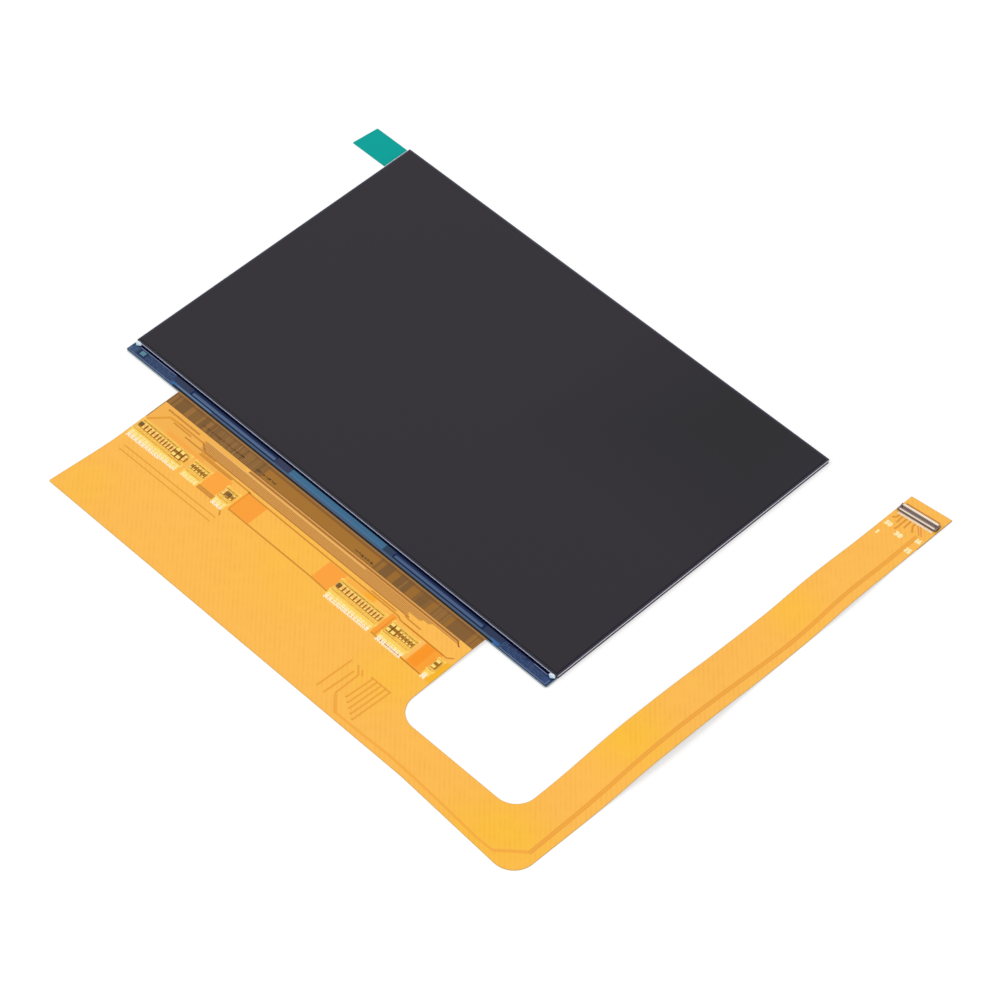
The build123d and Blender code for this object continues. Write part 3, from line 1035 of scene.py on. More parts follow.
@dataclass
class GlassCell(SubAssembly):
    """The two glasses with their films, seal and black border."""

    ground_edge: float = 0.11
    cut_edge: float = 0.15
    border_inset: float = 0.11
    border_depth: float = 0.58
    border_low: float = 0.002
    border_high: float = 0.006
    sheet_gap: float = 0.01

    def border(self) -> Piece:
        """Black border round the polarizer, all round the counter glass."""
        low, high = (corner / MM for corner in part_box("counter_glass"))
        vertices = []
        for inset in (self.border_inset, self.border_inset + self.border_depth):
            corners = ring((low.x + inset, low.y + inset), (high.x - inset, high.y - inset))[:4]
            for z in (high.z + self.border_low, high.z + self.border_high):
                vertices += [(x, y, z) for x, y in corners]
        outer_low, outer_high, inner_low, inner_high = (range(4 * n, 4 * n + 4) for n in range(4))
        bands = (
            (outer_low, outer_high), (inner_high, inner_low), (outer_high, inner_high),
            (inner_low, outer_low),
        )
        faces = [
            (start[n], start[(n + 1) % 4], end[(n + 1) % 4], end[n])
            for n in range(4) for start, end in bands
        ]
        piece = mesh_object("black_border", vertices, [], faces)
        finish = Finish("border black", seen(62, 62, 74), roughness=0.3, grain_spread=0.06)
        piece.data.materials.append(finish.material())
        return piece

    def sheet(self, name: str, node: str, bevel: float, edge: Finish, side: Finish) -> None:
        """Make a glass with eased edges, clear of the layer under it, in place of its node."""
        glass = SeeThrough(
            "polished glass", (0.86, 0.9, 0.9, 1.0), roughness=0.03, relief=0.0005
        )
        piece = self.bevelled(name, node, bevel, glass, edge, side)
        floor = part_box(node)[0].z + self.sheet_gap * MM
        for vertex in piece.data.vertices:
            vertex.co.z = max(vertex.co.z, floor)
        self.keep(piece, Slot.CLEAR_GLASS, node)

    def sheets(self) -> None:
        """Make both glasses, their edges with painted highlight and painted shade."""
        # Each row: name, colour, mottle, roughness and a field. The fields are painted light: a
        # highlight on the counter glass's eased edge at the right, shade on its front side, and
        # shade on the rear glass's right edge.
        rows = (
            ("ground edge", (186, 190, 212), (176, 180, 200), 0.45,
             Patch((73.0, -45.1), (74.0, 60.0), seen(240, 232, 242))),
            ("counter glass side", (104, 100, 112), (92, 88, 100), 0.4,
             Patch((-80.0, -46.0), (80.0, -44.9), seen(34, 40, 58))),
            ("rear glass edge", (150, 166, 178), (136, 152, 166), 0.4,
             Patch((73.0, -44.9), (74.0, 60.0), seen(84, 78, 90))),
        )
        ground, side, cut = (
            FieldFinish(
                name, seen(*colour), roughness=roughness, fields=(field,), mottle=seen(*mottle),
                grain_scale=12.0
            )
            for name, colour, mottle, roughness, field in rows
        )
        self.sheet("counter_glass_sheet", "counter_glass", self.ground_edge, ground, side)
        self.sheet("rear_glass_sheet", "rear_glass", self.cut_edge, cut, cut)

    def build(self) -> None:
        """Dress the films and make the two glasses and the border."""
        self.sheets()
        self.keep(self.border(), Slot.SEAL_RESIN)
        face = seen(53, 50, 56)
        # Darker lines along the film's front and right edges, and painted shade that deepens
        # towards the far right corner.
        edge_lines_and_painted_shade = (
            Patch((-80.0, -44.7), (80.0, -44.3), seen(30, 28, 38), 1.0, 0.1),
            Patch((72.45, -44.7), (72.9, 60.0), seen(46, 42, 52), 1.0, 0.1),
            Patch((30.0, 20.0), (72.9, 60.0), seen(46, 46, 49), 1.0, 40.0),
        )
        film = FieldFinish(
            "polarizer film", face, roughness=0.12, fields=edge_lines_and_painted_shade, mottle=face,
            grain_scale=30.0, grain_spread=0.04, gloss_spread=0.03, relief=0.0004
        )
        self.dress(film, "front_polarizer", "rear_polarizer")
        self.dress(Finish("seal resin", srgb(52, 46, 56), roughness=0.4), "edge_seal")
        self.dress(Finish("crystal layer", srgb(30, 26, 36), roughness=0.3), "liquid_crystal")
        clear = SeeThrough(
            "clear film", (0.95, 0.97, 0.97, 1.0), roughness=0.08, clear=0.0, veil=0.08,
            relief=0.0005
        )
        self.dress(clear, "protective_film")
        tape = Finish(
            "teal tape", seen(10, 165, 158), specular=0.05, grain_scale=9.0, grain_spread=0.05
        )
        self.dress(tape, "pull_tab")


@dataclass
class BondLedge(SubAssembly):
    """The ledge's blue coat, its metal pattern, the driver chips and the silver dots."""

    tile: float = 0.2
    tile_pitch: float = 0.42
    tile_rows: int = 6
    tiles_left_out: float = 0.45
    field_y: float = -47.1
    field_width: float = 1.9
    metal_height: float = 0.012
    foot_shade_width: float = 0.36
    outline_width: float = 0.2
    mark_width: float = 1.3
    coat_gloss: float = 0.009
    blob_power: float = 1.35
    blob_swell: float = 0.18
    blob_ripple: float = 0.05

    def coat(self) -> FieldFinish:
        """Blue coat: navy, with the lighter block between the chips, the pale bead and painted
        shade.
        """
        tone = partial(seen, gloss=self.coat_gloss)
        around = tone(18, 46, 86)
        # Lighter blue at both ends of the bead.
        bead_end_blue = tone(62, 108, 166)
        # Painted shade for the ledge's front edge.
        rim = tone(40, 62, 74)
        fields = (
            Patch((-73.4, -46.3), (-57.0, -45.6), tone(46, 56, 84), 0.8, 0.3),
            Patch((57.0, -46.5), (73.4, -45.6), tone(44, 50, 86), 0.8, 0.3),
            Patch((-57.3, -47.6), (-50.9, -45.7), tone(58, 66, 90), 0.9),
            Patch((50.9, -47.6), (56.8, -45.7), tone(52, 62, 88), 0.9),
            Patch((-51.3, -47.8), (-20.6, -45.7), around),
            Patch((20.3, -47.8), (51.2, -45.7), around),
            Patch((-20.8, -47.8), (-15.6, -45.7), tone(60, 66, 92)),
            Patch((17.2, -47.8), (20.4, -45.7), tone(52, 70, 93)),
            Patch((-15.6, -47.8), (17.2, -45.75), tone(61, 104, 136)),
            Patch((-15.6, -47.6), (17.2, -47.1), tone(72, 112, 146), 1.0, 0.3),
            Patch((-70.5, -48.0), (-67.8, -45.9), tone(32, 40, 68), 0.9, 0.2),
            Patch((-72.8, -48.2), (-71.0, -46.2), tone(66, 92, 126), 0.8, 0.3),
            Patch((71.2, -48.2), (72.6, -46.6), tone(66, 84, 132), 0.7, 0.3),
            # Painted shade: near-black along the foot of the counter glass.
            Patch((-90.0, -45.84), (90.0, -45.0), tone(4, 18, 40), 1.0, 0.14),
            Patch((-57.0, -48.4), (57.0, -47.72), tone(80, 97, 122), 1.0, 0.2),
            Patch((-56.5, -48.15), (-43.0, -47.75), tone(106, 136, 170), 0.8, 0.3),
            Patch((-57.4, -48.7), (-55.2, -47.6), bead_end_blue, 0.9, 0.5),
            Patch((54.6, -48.8), (57.2, -47.6), bead_end_blue, 0.9, 0.5),
            # Painted shade along the ledge's front edge beyond the bead, then between the bead
            # and the flex.
            Patch((-90.0, -49.0), (-57.0, -48.58), rim, 1.0, 0.1),
            Patch((57.0, -49.0), (90.0, -48.58), rim, 1.0, 0.1),
            Patch((-56.5, -49.2), (55.5, -48.32), tone(34, 38, 42)),
        )
        striped = (
            Patch((-15.6, -47.6), (17.1, -45.9), tone(84, 128, 166), 0.4),
            Patch((-73.0, -48.1), (-57.4, -46.2), tone(80, 94, 124), 0.35, 0.3),
            Patch((57.4, -48.1), (71.0, -46.5), tone(74, 92, 134), 0.35, 0.3),
        )
        return FieldFinish(
            "blue coat", tone(48, 66, 96), roughness=0.24, specular=0.1, fields=fields,
            striped=striped, stripe_pitch=0.36, mottle=tone(34, 62, 108), grain_scale=5.0,
            grain_spread=0.25
        )

    def chips(self) -> FieldFinish:
        """Polished bare chips with fine stripes across, a dark far margin and painted shade in
        front.
        """
        fields = (
            Patch((0.0, -47.5), (90.0, -46.0), seen(76, 98, 132), 0.8),
            Patch((-90.0, -46.6), (90.0, -46.0), seen(38, 54, 86), 1.0, 0.1),
            # Painted shade along the chips' front edge.
            Patch((-90.0, -47.6), (90.0, -47.36), seen(26, 44, 80), 1.0, 0.05),
        )
        striped = (Patch((-90.0, -47.2), (90.0, -46.7), seen(72, 92, 128), 0.6),)
        return FieldFinish(
            "bare chip", seen(88, 109, 142), roughness=0.2, fields=fields, striped=striped,
            stripe_pitch=0.5, mottle=seen(80, 101, 135)
        )

    def tiles(self, side: Side) -> None:
        """Metal dots of the ledge's pattern on one side."""
        start, end = (-67.4, -57.6) if side is Side.LEFT else (57.6, 71.0)
        values = {
            "Centre": Vector(((start + end) / 2, self.field_y, 0.0)) * MM,
            "Length": (end - start) * MM,
            "Width": self.field_width * MM,
            "Columns": round((end - start) / self.tile_pitch),
            "Rows": self.tile_rows,
            "Tile": Vector((self.tile, self.tile, self.metal_height)) * MM,
            "Left Out": self.tiles_left_out,
            "Seed": 7 + side.value,
        }
        finish = Finish("pattern metal", seen(82, 98, 136), roughness=0.3)
        source = mesh_object(f"ledge_tiles_{side.name.lower()}", [(0, 0, 0)])
        self.lay(source, tile_tree(), finish, Slot.BLUE_COAT, Rest.COAT, values)

    def silver(self, side: Side) -> None:
        """Silver paste: a cornered blob over the glass's edge that runs down to a tail."""
        name = f"silver_dot_{side.name.lower()}"
        low, high = (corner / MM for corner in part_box(name))
        half = (high - low) / 2
        surface = bmesh.new()
        bmesh.ops.create_icosphere(surface, subdivisions=4, radius=1.0)
        for vertex in surface.verts:
            co = vertex.co
            flat = Vector((abs(co.x), abs(co.y)))
            pull = 1.0
            if flat.length > 0.01:
                power = self.blob_power
                pull = flat.length / (flat.x ** power + flat.y ** power) ** (1 / power)
            wave = math.sin(5 * co.x + 3 * co.y) * math.cos(4 * co.y - 2 * co.x)
            ripple = 1.0 + self.blob_ripple * wave
            across = (1.0 + self.blob_swell * (1.0 - abs(co.z))) * pull * ripple
            offset = (co.x * half.x * across, co.y * half.y * across, co.z * half.z * ripple)
            vertex.co = (low + high) / 2 + Vector(offset)
            vertex.co.z = min(max(vertex.co.z, low.z), high.z)
            vertex.co *= MM
        tail = Patch((-80.0, -46.6), (80.0, -45.75), seen(176, 208, 232), 0.9, 0.5)
        finish = FieldFinish(
            "silver paste", seen(238, 242, 246), roughness=0.35, fields=(tail,),
            mottle=seen(214, 230, 240), relief=0.02
        )
        piece = surface_object(name + "_blob", surface, finish)
        piece.data.shade_smooth()
        self.keep(piece, Slot.SILVER_PASTE, name)

    def build(self) -> None:
        """Dress the coat and chips, then lay the pattern, the dots, a strip of painted shade, the
        outline and the mark.
        """
        self.dress(self.coat(), "ledge_coat")
        self.dress(self.chips(), "driver_chip_left", "driver_chip_right")
        self.dress(Finish("bond film", srgb(120, 112, 92), roughness=0.5), "bond_film")
        for side in Side:
            self.tiles(side)
            self.silver(side)
        # Painted shade: a near-black strip along the foot of the counter glass.
        groove = Finish("groove shade", srgb(6, 12, 34), roughness=0.6, specular=0.0)
        pale = Finish("outline metal", seen(112, 126, 166), roughness=0.3)
        mark = Finish("mark metal", seen(88, 136, 150), roughness=0.3)
        run = [[(-73.2, -45.58), (73.2, -45.58)]]
        outline = [
            [(-57.4, -48.4), (-72.9, -48.4), (-72.9, -47.2)],
            [(57.4, -48.4), (72.75, -48.4), (72.75, -46.9)],
            [(66.8, -46.0), (71.2, -46.05)],
            [(-71.0, -45.95), (-58.0, -45.9)],
        ]
        spot = [[(-69.9, -46.95), (-68.4, -46.95)]]
        rows = (
            ("ledge_groove", run, self.foot_shade_width, groove, 12),
            ("ledge_outline", outline, self.outline_width, pale, 12),
            ("ledge_mark", spot, self.mark_width, mark, 1),
        )
        for name, paths, width, finish, cuts in rows:
            self.strips(
                name, paths, width, finish, self.metal_height, 0.0, cuts, Slot.BLUE_COAT,
                Rest.COAT
            )


@dataclass
class FlexCircuit(SubAssembly):
    """The amber films with their traces, bare strip, printing and edges."""

    flank_width: float = 0.12
    fine_width: float = 0.16
    border_width: float = 0.3
    line_width: float = 0.32
    edge_width: float = 0.36
    bar_width: float = 0.4
    broad_width: float = 0.42
    comb_width: float = 0.5
    wide_width: float = 0.62
    tail_width: float = 0.9
    bundle_pitch: float = 0.36
    rim_radius: float = 0.07
    bead_sink: float = 0.7
    side_inset: float = 1.35
    mark_margin: float = 0.4
    dash_pitch: float = 0.42
    lead_pitch: float = 0.44
    fleck_pitch: float = 0.5

    def cover(self) -> FilmFinish:
        """Front cover: amber over hatched copper, with orange fields and yellow grounds."""
        orange = seen(252, 162, 62)
        band = seen(222, 164, 90)
        # Pools of the warmer yellow: those on the tail at Y -45 and 9 are painted light on its
        # humps, the rest vary the film's tone.
        pools = (
            Pool((5.0, -64.0), 30.0, 0.4),
            Pool((45.0, -72.0), 16.0, 0.6),
            Pool((97.0, -84.0), 16.0, 0.8),
            Pool((97.0, -45.0), 16.0, 0.9),
            Pool((98.0, 9.0), 12.0, 0.6),
            Pool((88.0, -88.0), 14.0, 0.6),
            Pool((-48.0, -84.0), 14.0, 0.4),
        )
        patches = (
            Patch((-54.2, -60.2), (-24.0, -53.0), seen(244, 178, 84), 0.8, 1.6),
            Patch((-22.6, -54.5), (49.8, -53.2), seen(214, 154, 86), 0.9, 0.16),
            Patch((-36.6, -57.4), (35.3, -54.5), band, 0.95, 0.35),
            Patch((35.0, -56.0), (39.3, -54.3), band, 0.9, 0.3),
            Patch((38.8, -55.2), (41.6, -54.2), band, 0.9, 0.25),
            Patch((-28.4, -66.15), (-22.9, -64.8), seen(220, 154, 76), 0.9, 0.2),
            Patch((-28.4, -64.8), (-22.8, -59.1), seen(254, 168, 68), 1.0, 0.3),
            Patch((-46.0, -60.2), (-33.0, -59.0), seen(251, 164, 66), 0.7, 1.3),
            Patch((-18.15, -65.0), (-11.1, -58.5), orange),
            Patch((11.15, -65.2), (17.2, -58.9), seen(254, 165, 66)),
            Patch((18.0, -60.3), (27.2, -58.9), seen(253, 176, 70), 0.8, 0.6),
            Patch((24.1, -60.3), (27.2, -58.7), seen(255, 174, 46), 0.9, 0.9),
            Patch((32.85, -66.3), (34.7, -59.1), orange, 1.0, 0.2),
            Patch((43.2, -66.5), (44.8, -59.3), seen(254, 190, 100), 0.8, 0.3),
            Patch((44.7, -66.5), (50.2, -59.3), seen(252, 164, 58), 1.0, 0.3),
            Patch((45.0, -66.3), (47.9, -59.6), seen(252, 152, 30), 1.0, 0.6),
            Patch((52.1, -67.2), (54.2, -60.0), seen(248, 182, 28), 0.9, 0.4),
        )
        ground = seen(255, 218, 104)
        grounds = tuple(
            Patch((left, front - 1.75), (rim.high[0], front + 0.1), ground, 0.75, 0.3)
            for rim in part_windows() for left, front in (rim.low,)
        )
        return FilmFinish(
            "front cover film", seen(255, 190, 87), roughness=0.32, pools=pools,
            patches=patches + grounds, grain_scale=2.5, grain_spread=0.02, relief=0.003
        )

    def base(self) -> FieldFinish:
        """Base film: yellow in the windows, brown on the bare strip, with copper fields."""
        light = seen(167, 118, 64)
        mid = seen(143, 103, 58)
        dark = seen(131, 96, 57)
        runs = (
            (-53.8, -52.2, light), (-52.2, -50.8, mid), (-50.8, -47.6, dark),
            (-47.5, -46.2, light), (-46.1, -43.4, mid), (-43.2, -42.7, light),
            (-42.6, -40.9, dark), (-40.8, -39.7, light), (-39.7, -33.6, mid),
            (-33.6, -27.0, seen(151, 110, 66)), (-27.0, -21.2, mid), (-21.1, -20.1, light),
            (19.4, 20.2, mid), (21.4, 24.2, dark), (26.2, 30.4, dark),
            (28.3, 28.7, seen(154, 114, 68)), (32.8, 36.3, mid), (33.9, 36.2, dark),
            (36.3, 37.3, mid), (38.8, 43.7, seen(156, 111, 58)), (44.7, 50.8, seen(139, 100, 58)),
            (51.9, 52.2, mid),
        )
        fields = (
            Patch((-60.0, -53.8), (60.0, -45.0), seen(166, 115, 52)),
            *(Patch((start, -53.6), (end, -49.0), tone) for start, end, tone in runs),
            Patch((-60.0, -49.9), (60.0, -49.25), seen(128, 84, 42), 0.7, 0.3),
            Patch((-60.0, -49.2), (60.0, -48.95), seen(150, 118, 84), 0.9, 0.1),
            Patch((-60.0, -53.6), (60.0, -53.08), seen(138, 92, 38), 0.8, 0.1),
        )
        striped = (
            Patch((-53.6, -53.3), (-19.7, -49.3), seen(112, 82, 48), 0.55),
            Patch((19.4, -53.3), (53.6, -49.3), seen(112, 80, 44), 0.5),
        )
        return FieldFinish(
            "base film", seen(251, 200, 92), roughness=0.3, fields=fields, striped=striped,
            stripe_pitch=0.47, mottle=seen(248, 188, 70), grain_scale=3.0, grain_spread=0.06
        )

    def films(self) -> None:
        """Dress the three films and the two stiffeners."""
        self.dress(self.cover(), "flex_front_cover")
        back = FilmFinish("rear cover film", seen(248, 178, 76), roughness=0.32, relief=0.003)
        self.dress(back, "flex_rear_cover")
        self.dress(self.base(), "flex_circuit")
        board = Finish("stiffener board", srgb(190, 128, 58), roughness=0.5)
        self.dress(board, "band_stiffener", "head_stiffener")

    def bundle(self) -> list[Path]:
        """Fine traces in a bundle along the body, stepping off in groups on the right."""
        ends = (41.6, 41.2, 39.4, 38.9, 35.4, 35.9, 36.4)
        paths = [[(18.9, -54.6), (50.1, -54.6)]]
        for n, end in enumerate(ends, 1):
            y = -54.6 - self.bundle_pitch * n
            left = -37.3 + self.bundle_pitch * max(n - 3, 0)
            paths.append([(left, y), (end, y)])
        return [*paths, [(-34.8, -57.3), (36.6, -57.3)]]

    def traces(self) -> None:
        """Lay the traces that show through the front cover."""
        lines = [
            [(-51.0, -54.55), (-39.8, -54.6)],
            [(-45.8, -55.75), (-37.3, -55.75), (-35.0, -57.2)],
            [(-47.1, -56.5), (-40.8, -56.5)],
            [(-41.8, -57.6), (-30.8, -57.6)],
            [(-35.3, -58.2), (-17.4, -58.2)],
            [(-35.3, -58.7), (-23.8, -58.7)],
            [(24.4, -58.0), (33.0, -58.05)],
            [(-18.1, -58.45), (34.4, -58.7), (35.6, -59.25), (51.2, -59.3), (52.6, -58.2)],
            [(-28.4, -65.2), (-22.9, -65.2)],
            [(-28.4, -65.9), (-22.9, -65.9)],
            [(-17.9, -65.2), (11.0, -65.25), (17.1, -65.5)],
            [(33.1, -66.45), (50.1, -66.85)],
            [(-19.4, -66.4), (-17.95, -68.05)],
            [(35.4, -57.5), (36.8, -57.75), (41.0, -57.8)],
        ]
        edge = [[(-22.6, -53.92), (49.6, -53.95), (50.7, -54.9), (51.1, -55.0)]]
        dark = [[(36.8, -59.27), (50.2, -59.3)], [(34.9, -66.48), (49.8, -66.84)]]
        long = [[(-50.4, -69.6), (-18.1, -69.2)], [(-50.6, -71.15), (-18.3, -70.9)]]
        slant = [[(-52.9, -60.2), (-49.0, -56.0), (-45.8, -55.75)]]
        gap = [[(-36.5, -54.6), (18.8, -54.6)]]
        fine = trace_finish("fine trace", 186, 124, 58, 0.12)
        light = trace_finish("bundle gap", 238, 184, 104, 0.06)
        deep = trace_finish("edge trace", 166, 104, 38, 0.12)
        line = trace_finish("trace line", 214, 144, 58, 0.1)
        dim = trace_finish("dark trace", 206, 130, 32, 0.12)
        soft = trace_finish("soft trace", 230, 160, 62, 0.06)
        rows = (
            ("trace_bundle", self.bundle(), self.fine_width, fine, 1.0),
            ("bundle_gap", gap, self.broad_width, light, 1.0),
            ("edge_trace", edge, self.edge_width, deep, 1.0),
            ("trace_lines", lines, self.broad_width, line, 1.0),
            ("dark_lines", dark, self.line_width, dim, 1.5),
            ("soft_lines", long, self.line_width, soft, 1.0),
            ("slant_line", slant, self.wide_width, soft, 1.0),
        )
        for name, paths, width, finish, thick in rows:
            self.strips(name, paths, width, finish, INK_HEIGHT * thick)

    def dots(self) -> None:
        """Stipple some of the traces with small dots."""
        finish = TonedFinish(
            "trace dots", seen(214, 150, 66), roughness=0.4, dark=seen(176, 116, 44)
        )
        sizes = ((0.2, 0.16, 0.02), (0.26, 0.24, 0.024))
        runs = (
            (-51.0, -39.9, -54.42), (-51.0, -39.9, -54.74), (-28.3, -22.9, -65.35),
            (-28.3, -22.9, -65.75), (-41.8, -30.8, -57.6), (-35.3, -23.8, -58.6),
        )
        for number, (start, end, y) in enumerate(runs):
            self.bars(
                f"trace_dots_{number}", (start, end), y, self.lead_pitch, sizes, finish,
                51 + number, (0.03, 0.02, 0.0), 0.0, Slot.COVER_FILM, Rest.FRONT_COVER
            )

    def broad_traces(self) -> None:
        """Lay the bars beside the windows, the trace along the leg and tail, and the comb."""
        bars = [[(-17.9, -58.6), (-17.9, -65.0)], [(34.1, -59.4), (34.1, -66.2)]]
        leg = [
            (44.0, -88.35), (55.0, -88.15), (62.0, -87.9), (70.0, -88.2), (80.0, -88.75),
            (92.0, -89.6), (97.2, -89.5),
        ]
        slant = [(97.0, -89.5), (103.5, -83.7)]
        tail = [
            (103.4, -84.2), (103.4, -60.0), (103.4, -35.0), (103.7, -18.0), (104.25, 0.0),
            (104.2, 10.0), (103.8, 22.0), (103.8, 46.5),
        ]
        half = self.tail_width / 2
        sides = [[(x + shift, y) for x, y in tail] for shift in (-half, half)]
        comb = [
            [(35.9, -75.2), (35.4, -86.0)], [(38.6, -77.0), (38.0, -86.3)],
            [(38.0, -75.1), (40.1, -77.1), (40.1, -84.6)], [(39.8, -75.5), (41.0, -76.8)],
            [(42.7, -75.4), (49.3, -75.4)],
        ]
        for n in range(5):
            x = 43.2 + 1.42 * n
            end = -83.4 - 0.87 * n
            comb.append([(x + 0.1, -75.4), (x - 0.45, end), (x - 0.8, end - 0.1)])
        tails = [tail, [(40.3, -84.6), (44.2, -88.4)]]
        orange = trace_finish("orange bar", 240, 148, 38, 0.05)
        faint = trace_finish("leg trace", 247, 174, 72, 0.04)
        broad = trace_finish("tail trace", 243, 171, 73, 0.05)
        flank = trace_finish("trace flank", 236, 156, 60, 0.05)
        shade = trace_finish("comb trace", 240, 166, 68, 0.05)
        rows = (
            ("orange_bars", bars, self.bar_width, orange, 1.0, 0.0, 12),
            ("leg_trace", [leg], self.wide_width, faint, 1.0, 0.0, 20),
            ("leg_trace_slant", [slant], self.tail_width, faint, 1.25, INK_HEIGHT * 0.25, 20),
            ("tail_trace", tails, self.tail_width, broad, 1.5, 0.004, 44),
            ("tail_trace_sides", sides, self.flank_width, flank, 1.6, 0.005, 44),
            ("comb_trace", comb, self.comb_width, shade, 1.0, 0.0, 12),
        )
        for name, paths, width, finish, thick, lift, cuts in rows:
            self.strips(name, paths, width, finish, INK_HEIGHT * thick, lift, cuts)

    def strip_bars(self) -> None:
        """Copper leads across the bare strip beside the ledge, and the dark flecks on them."""
        finish = TonedFinish(
            "strip lead", seen(165, 120, 70), roughness=0.35, dark=seen(116, 86, 52)
        )
        sizes = ((0.1, 3.5, 0.008), (0.34, 3.7, 0.012))
        pitch = self.lead_pitch
        rows = ((-53.4, -51.0), (-39.4, -19.8), (38.8, 43.5), (50.9, 53.3))
        for number, run in enumerate(rows):
            self.bars(f"strip_leads_{number}", run, -51.3, pitch, sizes, finish, 11 + number)
        finish = TonedFinish("strip fleck", seen(112, 80, 48), dark=seen(84, 60, 42))
        sizes = ((0.14, 0.24, 0.02), (0.5, 0.6, 0.03))
        rows = ((-41.4, -26.6, -51.85), (-22.2, -15.2, -52.05), (13.2, 18.8, -52.3))
        for number, (start, end, y) in enumerate(rows):
            self.bars(
                f"strip_flecks_{number}", (start, end), y, self.fleck_pitch, sizes, finish,
                21 + number, (0.2, 0.12, 0.0), 0.01
            )

    def bead(self, name: str, found: Iterable[Rim], finish: Finish) -> None:
        """Run a round bead along film edges."""
        radius = self.rim_radius
        spots = []
        edges = []
        for rim in found:
            first = len(spots)
            spots += [spot - Vector((0.0, 0.0, radius * self.bead_sink)) for spot in rim.spots]
            edges += [(first + a, first + b) for a, b in rim.edges]
        values = {"Radius": radius * MM, "Sides": 6, "Material": finish.material()}
        self.keep(grow(mesh_object(name, spots, edges), bead_tree(), values), Slot.COVER_FILM)

    def edges(self, outline: Rim) -> None:
        """Lay beads and borders along the front cover's outline and its windows."""
        self.bead("cover_rim", [outline], Finish("cut edge", seen(204, 172, 98), roughness=0.4))
        adhesive = Finish("window adhesive", seen(255, 222, 118), roughness=0.3)
        self.bead("window_rims", part_windows(), adhesive)
        frames = [
            ring((rim.low[0] - 0.1, rim.low[1] - 0.1), (rim.high[0] + 0.1, rim.high[1] + 0.1))
            for rim in part_windows()
        ]
        self.strips("window_borders", frames, self.border_width, adhesive)

    def window_marks(self) -> None:
        """Lay dashes behind the parts in each window, and flecks of painted shadow in front of
        them.
        """
        olive = TonedFinish(
            "window dash", seen(172, 124, 34), roughness=0.4, dark=seen(134, 94, 24)
        )
        # Painted shadow: flecks in front of the parts.
        pale = TonedFinish(
            "window fleck", seen(214, 160, 60), roughness=0.4, dark=seen(184, 130, 40)
        )
        dashes = ((0.22, 0.14, 0.02), (0.4, 0.26, 0.03))
        flecks = ((0.2, 0.1, 0.02), (0.44, 0.2, 0.03))
        for n, rim in enumerate(part_windows()):
            run = (rim.low[0] + self.mark_margin, rim.high[0] - self.mark_margin)
            rows = (
                ("dashes", rim.high[1] - 0.6, self.dash_pitch, dashes, olive, 31),
                ("flecks", rim.low[1] + 0.3, self.fleck_pitch, flecks, pale, 41),
            )
            for mark, y, pitch, sizes, finish, seed in rows:
                self.bars(f"window_{mark}_{n}", run, y, pitch, sizes, finish, seed + n)

    def build(self) -> None:
        """Dress the films and lay everything on them."""
        self.films()
        self.traces()
        self.dots()
        self.broad_traces()
        self.strip_bars()
        found = rims(Rest.FRONT_COVER.value, self.rim_radius)
        outline = max(found, key=lambda rim: rim.high[0] - rim.low[0])
        self.edges(outline)
        self.window_marks()
        # Painted shade: a thin dark line along the body's left edge, where the flex rises off the
        # floor.
        side = outline.low[0] + self.side_inset
        shadow = Finish("side line", seen(92, 70, 66))
        self.strips("side_line", [[(side, -53.4), (side, -59.8)]], self.fine_width, shadow)


def land_shape(sides: int) -> Piece:
    """Make a small solder fillet one unit across: a low rounded block with a sunken foot."""
    levels = ((1.0, -0.3), (1.0, 0.25), (0.8, 0.8), (0.4, 1.0))
    vertices = []
    for share, height in levels:
        for n in range(sides):
            angle = 2 * math.pi * (n + 0.5) / sides
            x, y = math.cos(angle), math.sin(angle)
            reach = (x ** 4 + y ** 4) ** -0.25 * share / 2
            vertices.append((x * reach / MM, y * reach / MM, height / MM))
    count = len(vertices)
    faces = [tuple(reversed(range(sides)))]
    for low in range(0, count - sides, sides):
        for n in range(sides):
            m = (n + 1) % sides
            faces.append((low + n, low + m, low + sides + m, low + sides + n))
    faces.append(tuple(range(count - sides, count)))
    return mesh_object("land_shape", vertices, [], faces)


@dataclass(frozen=True)
class LabelRow:
    """Numbers under a few neighbouring parts: how many, how long and where they print."""

    parts: int
    digits: int
    top: float
    bottom: float


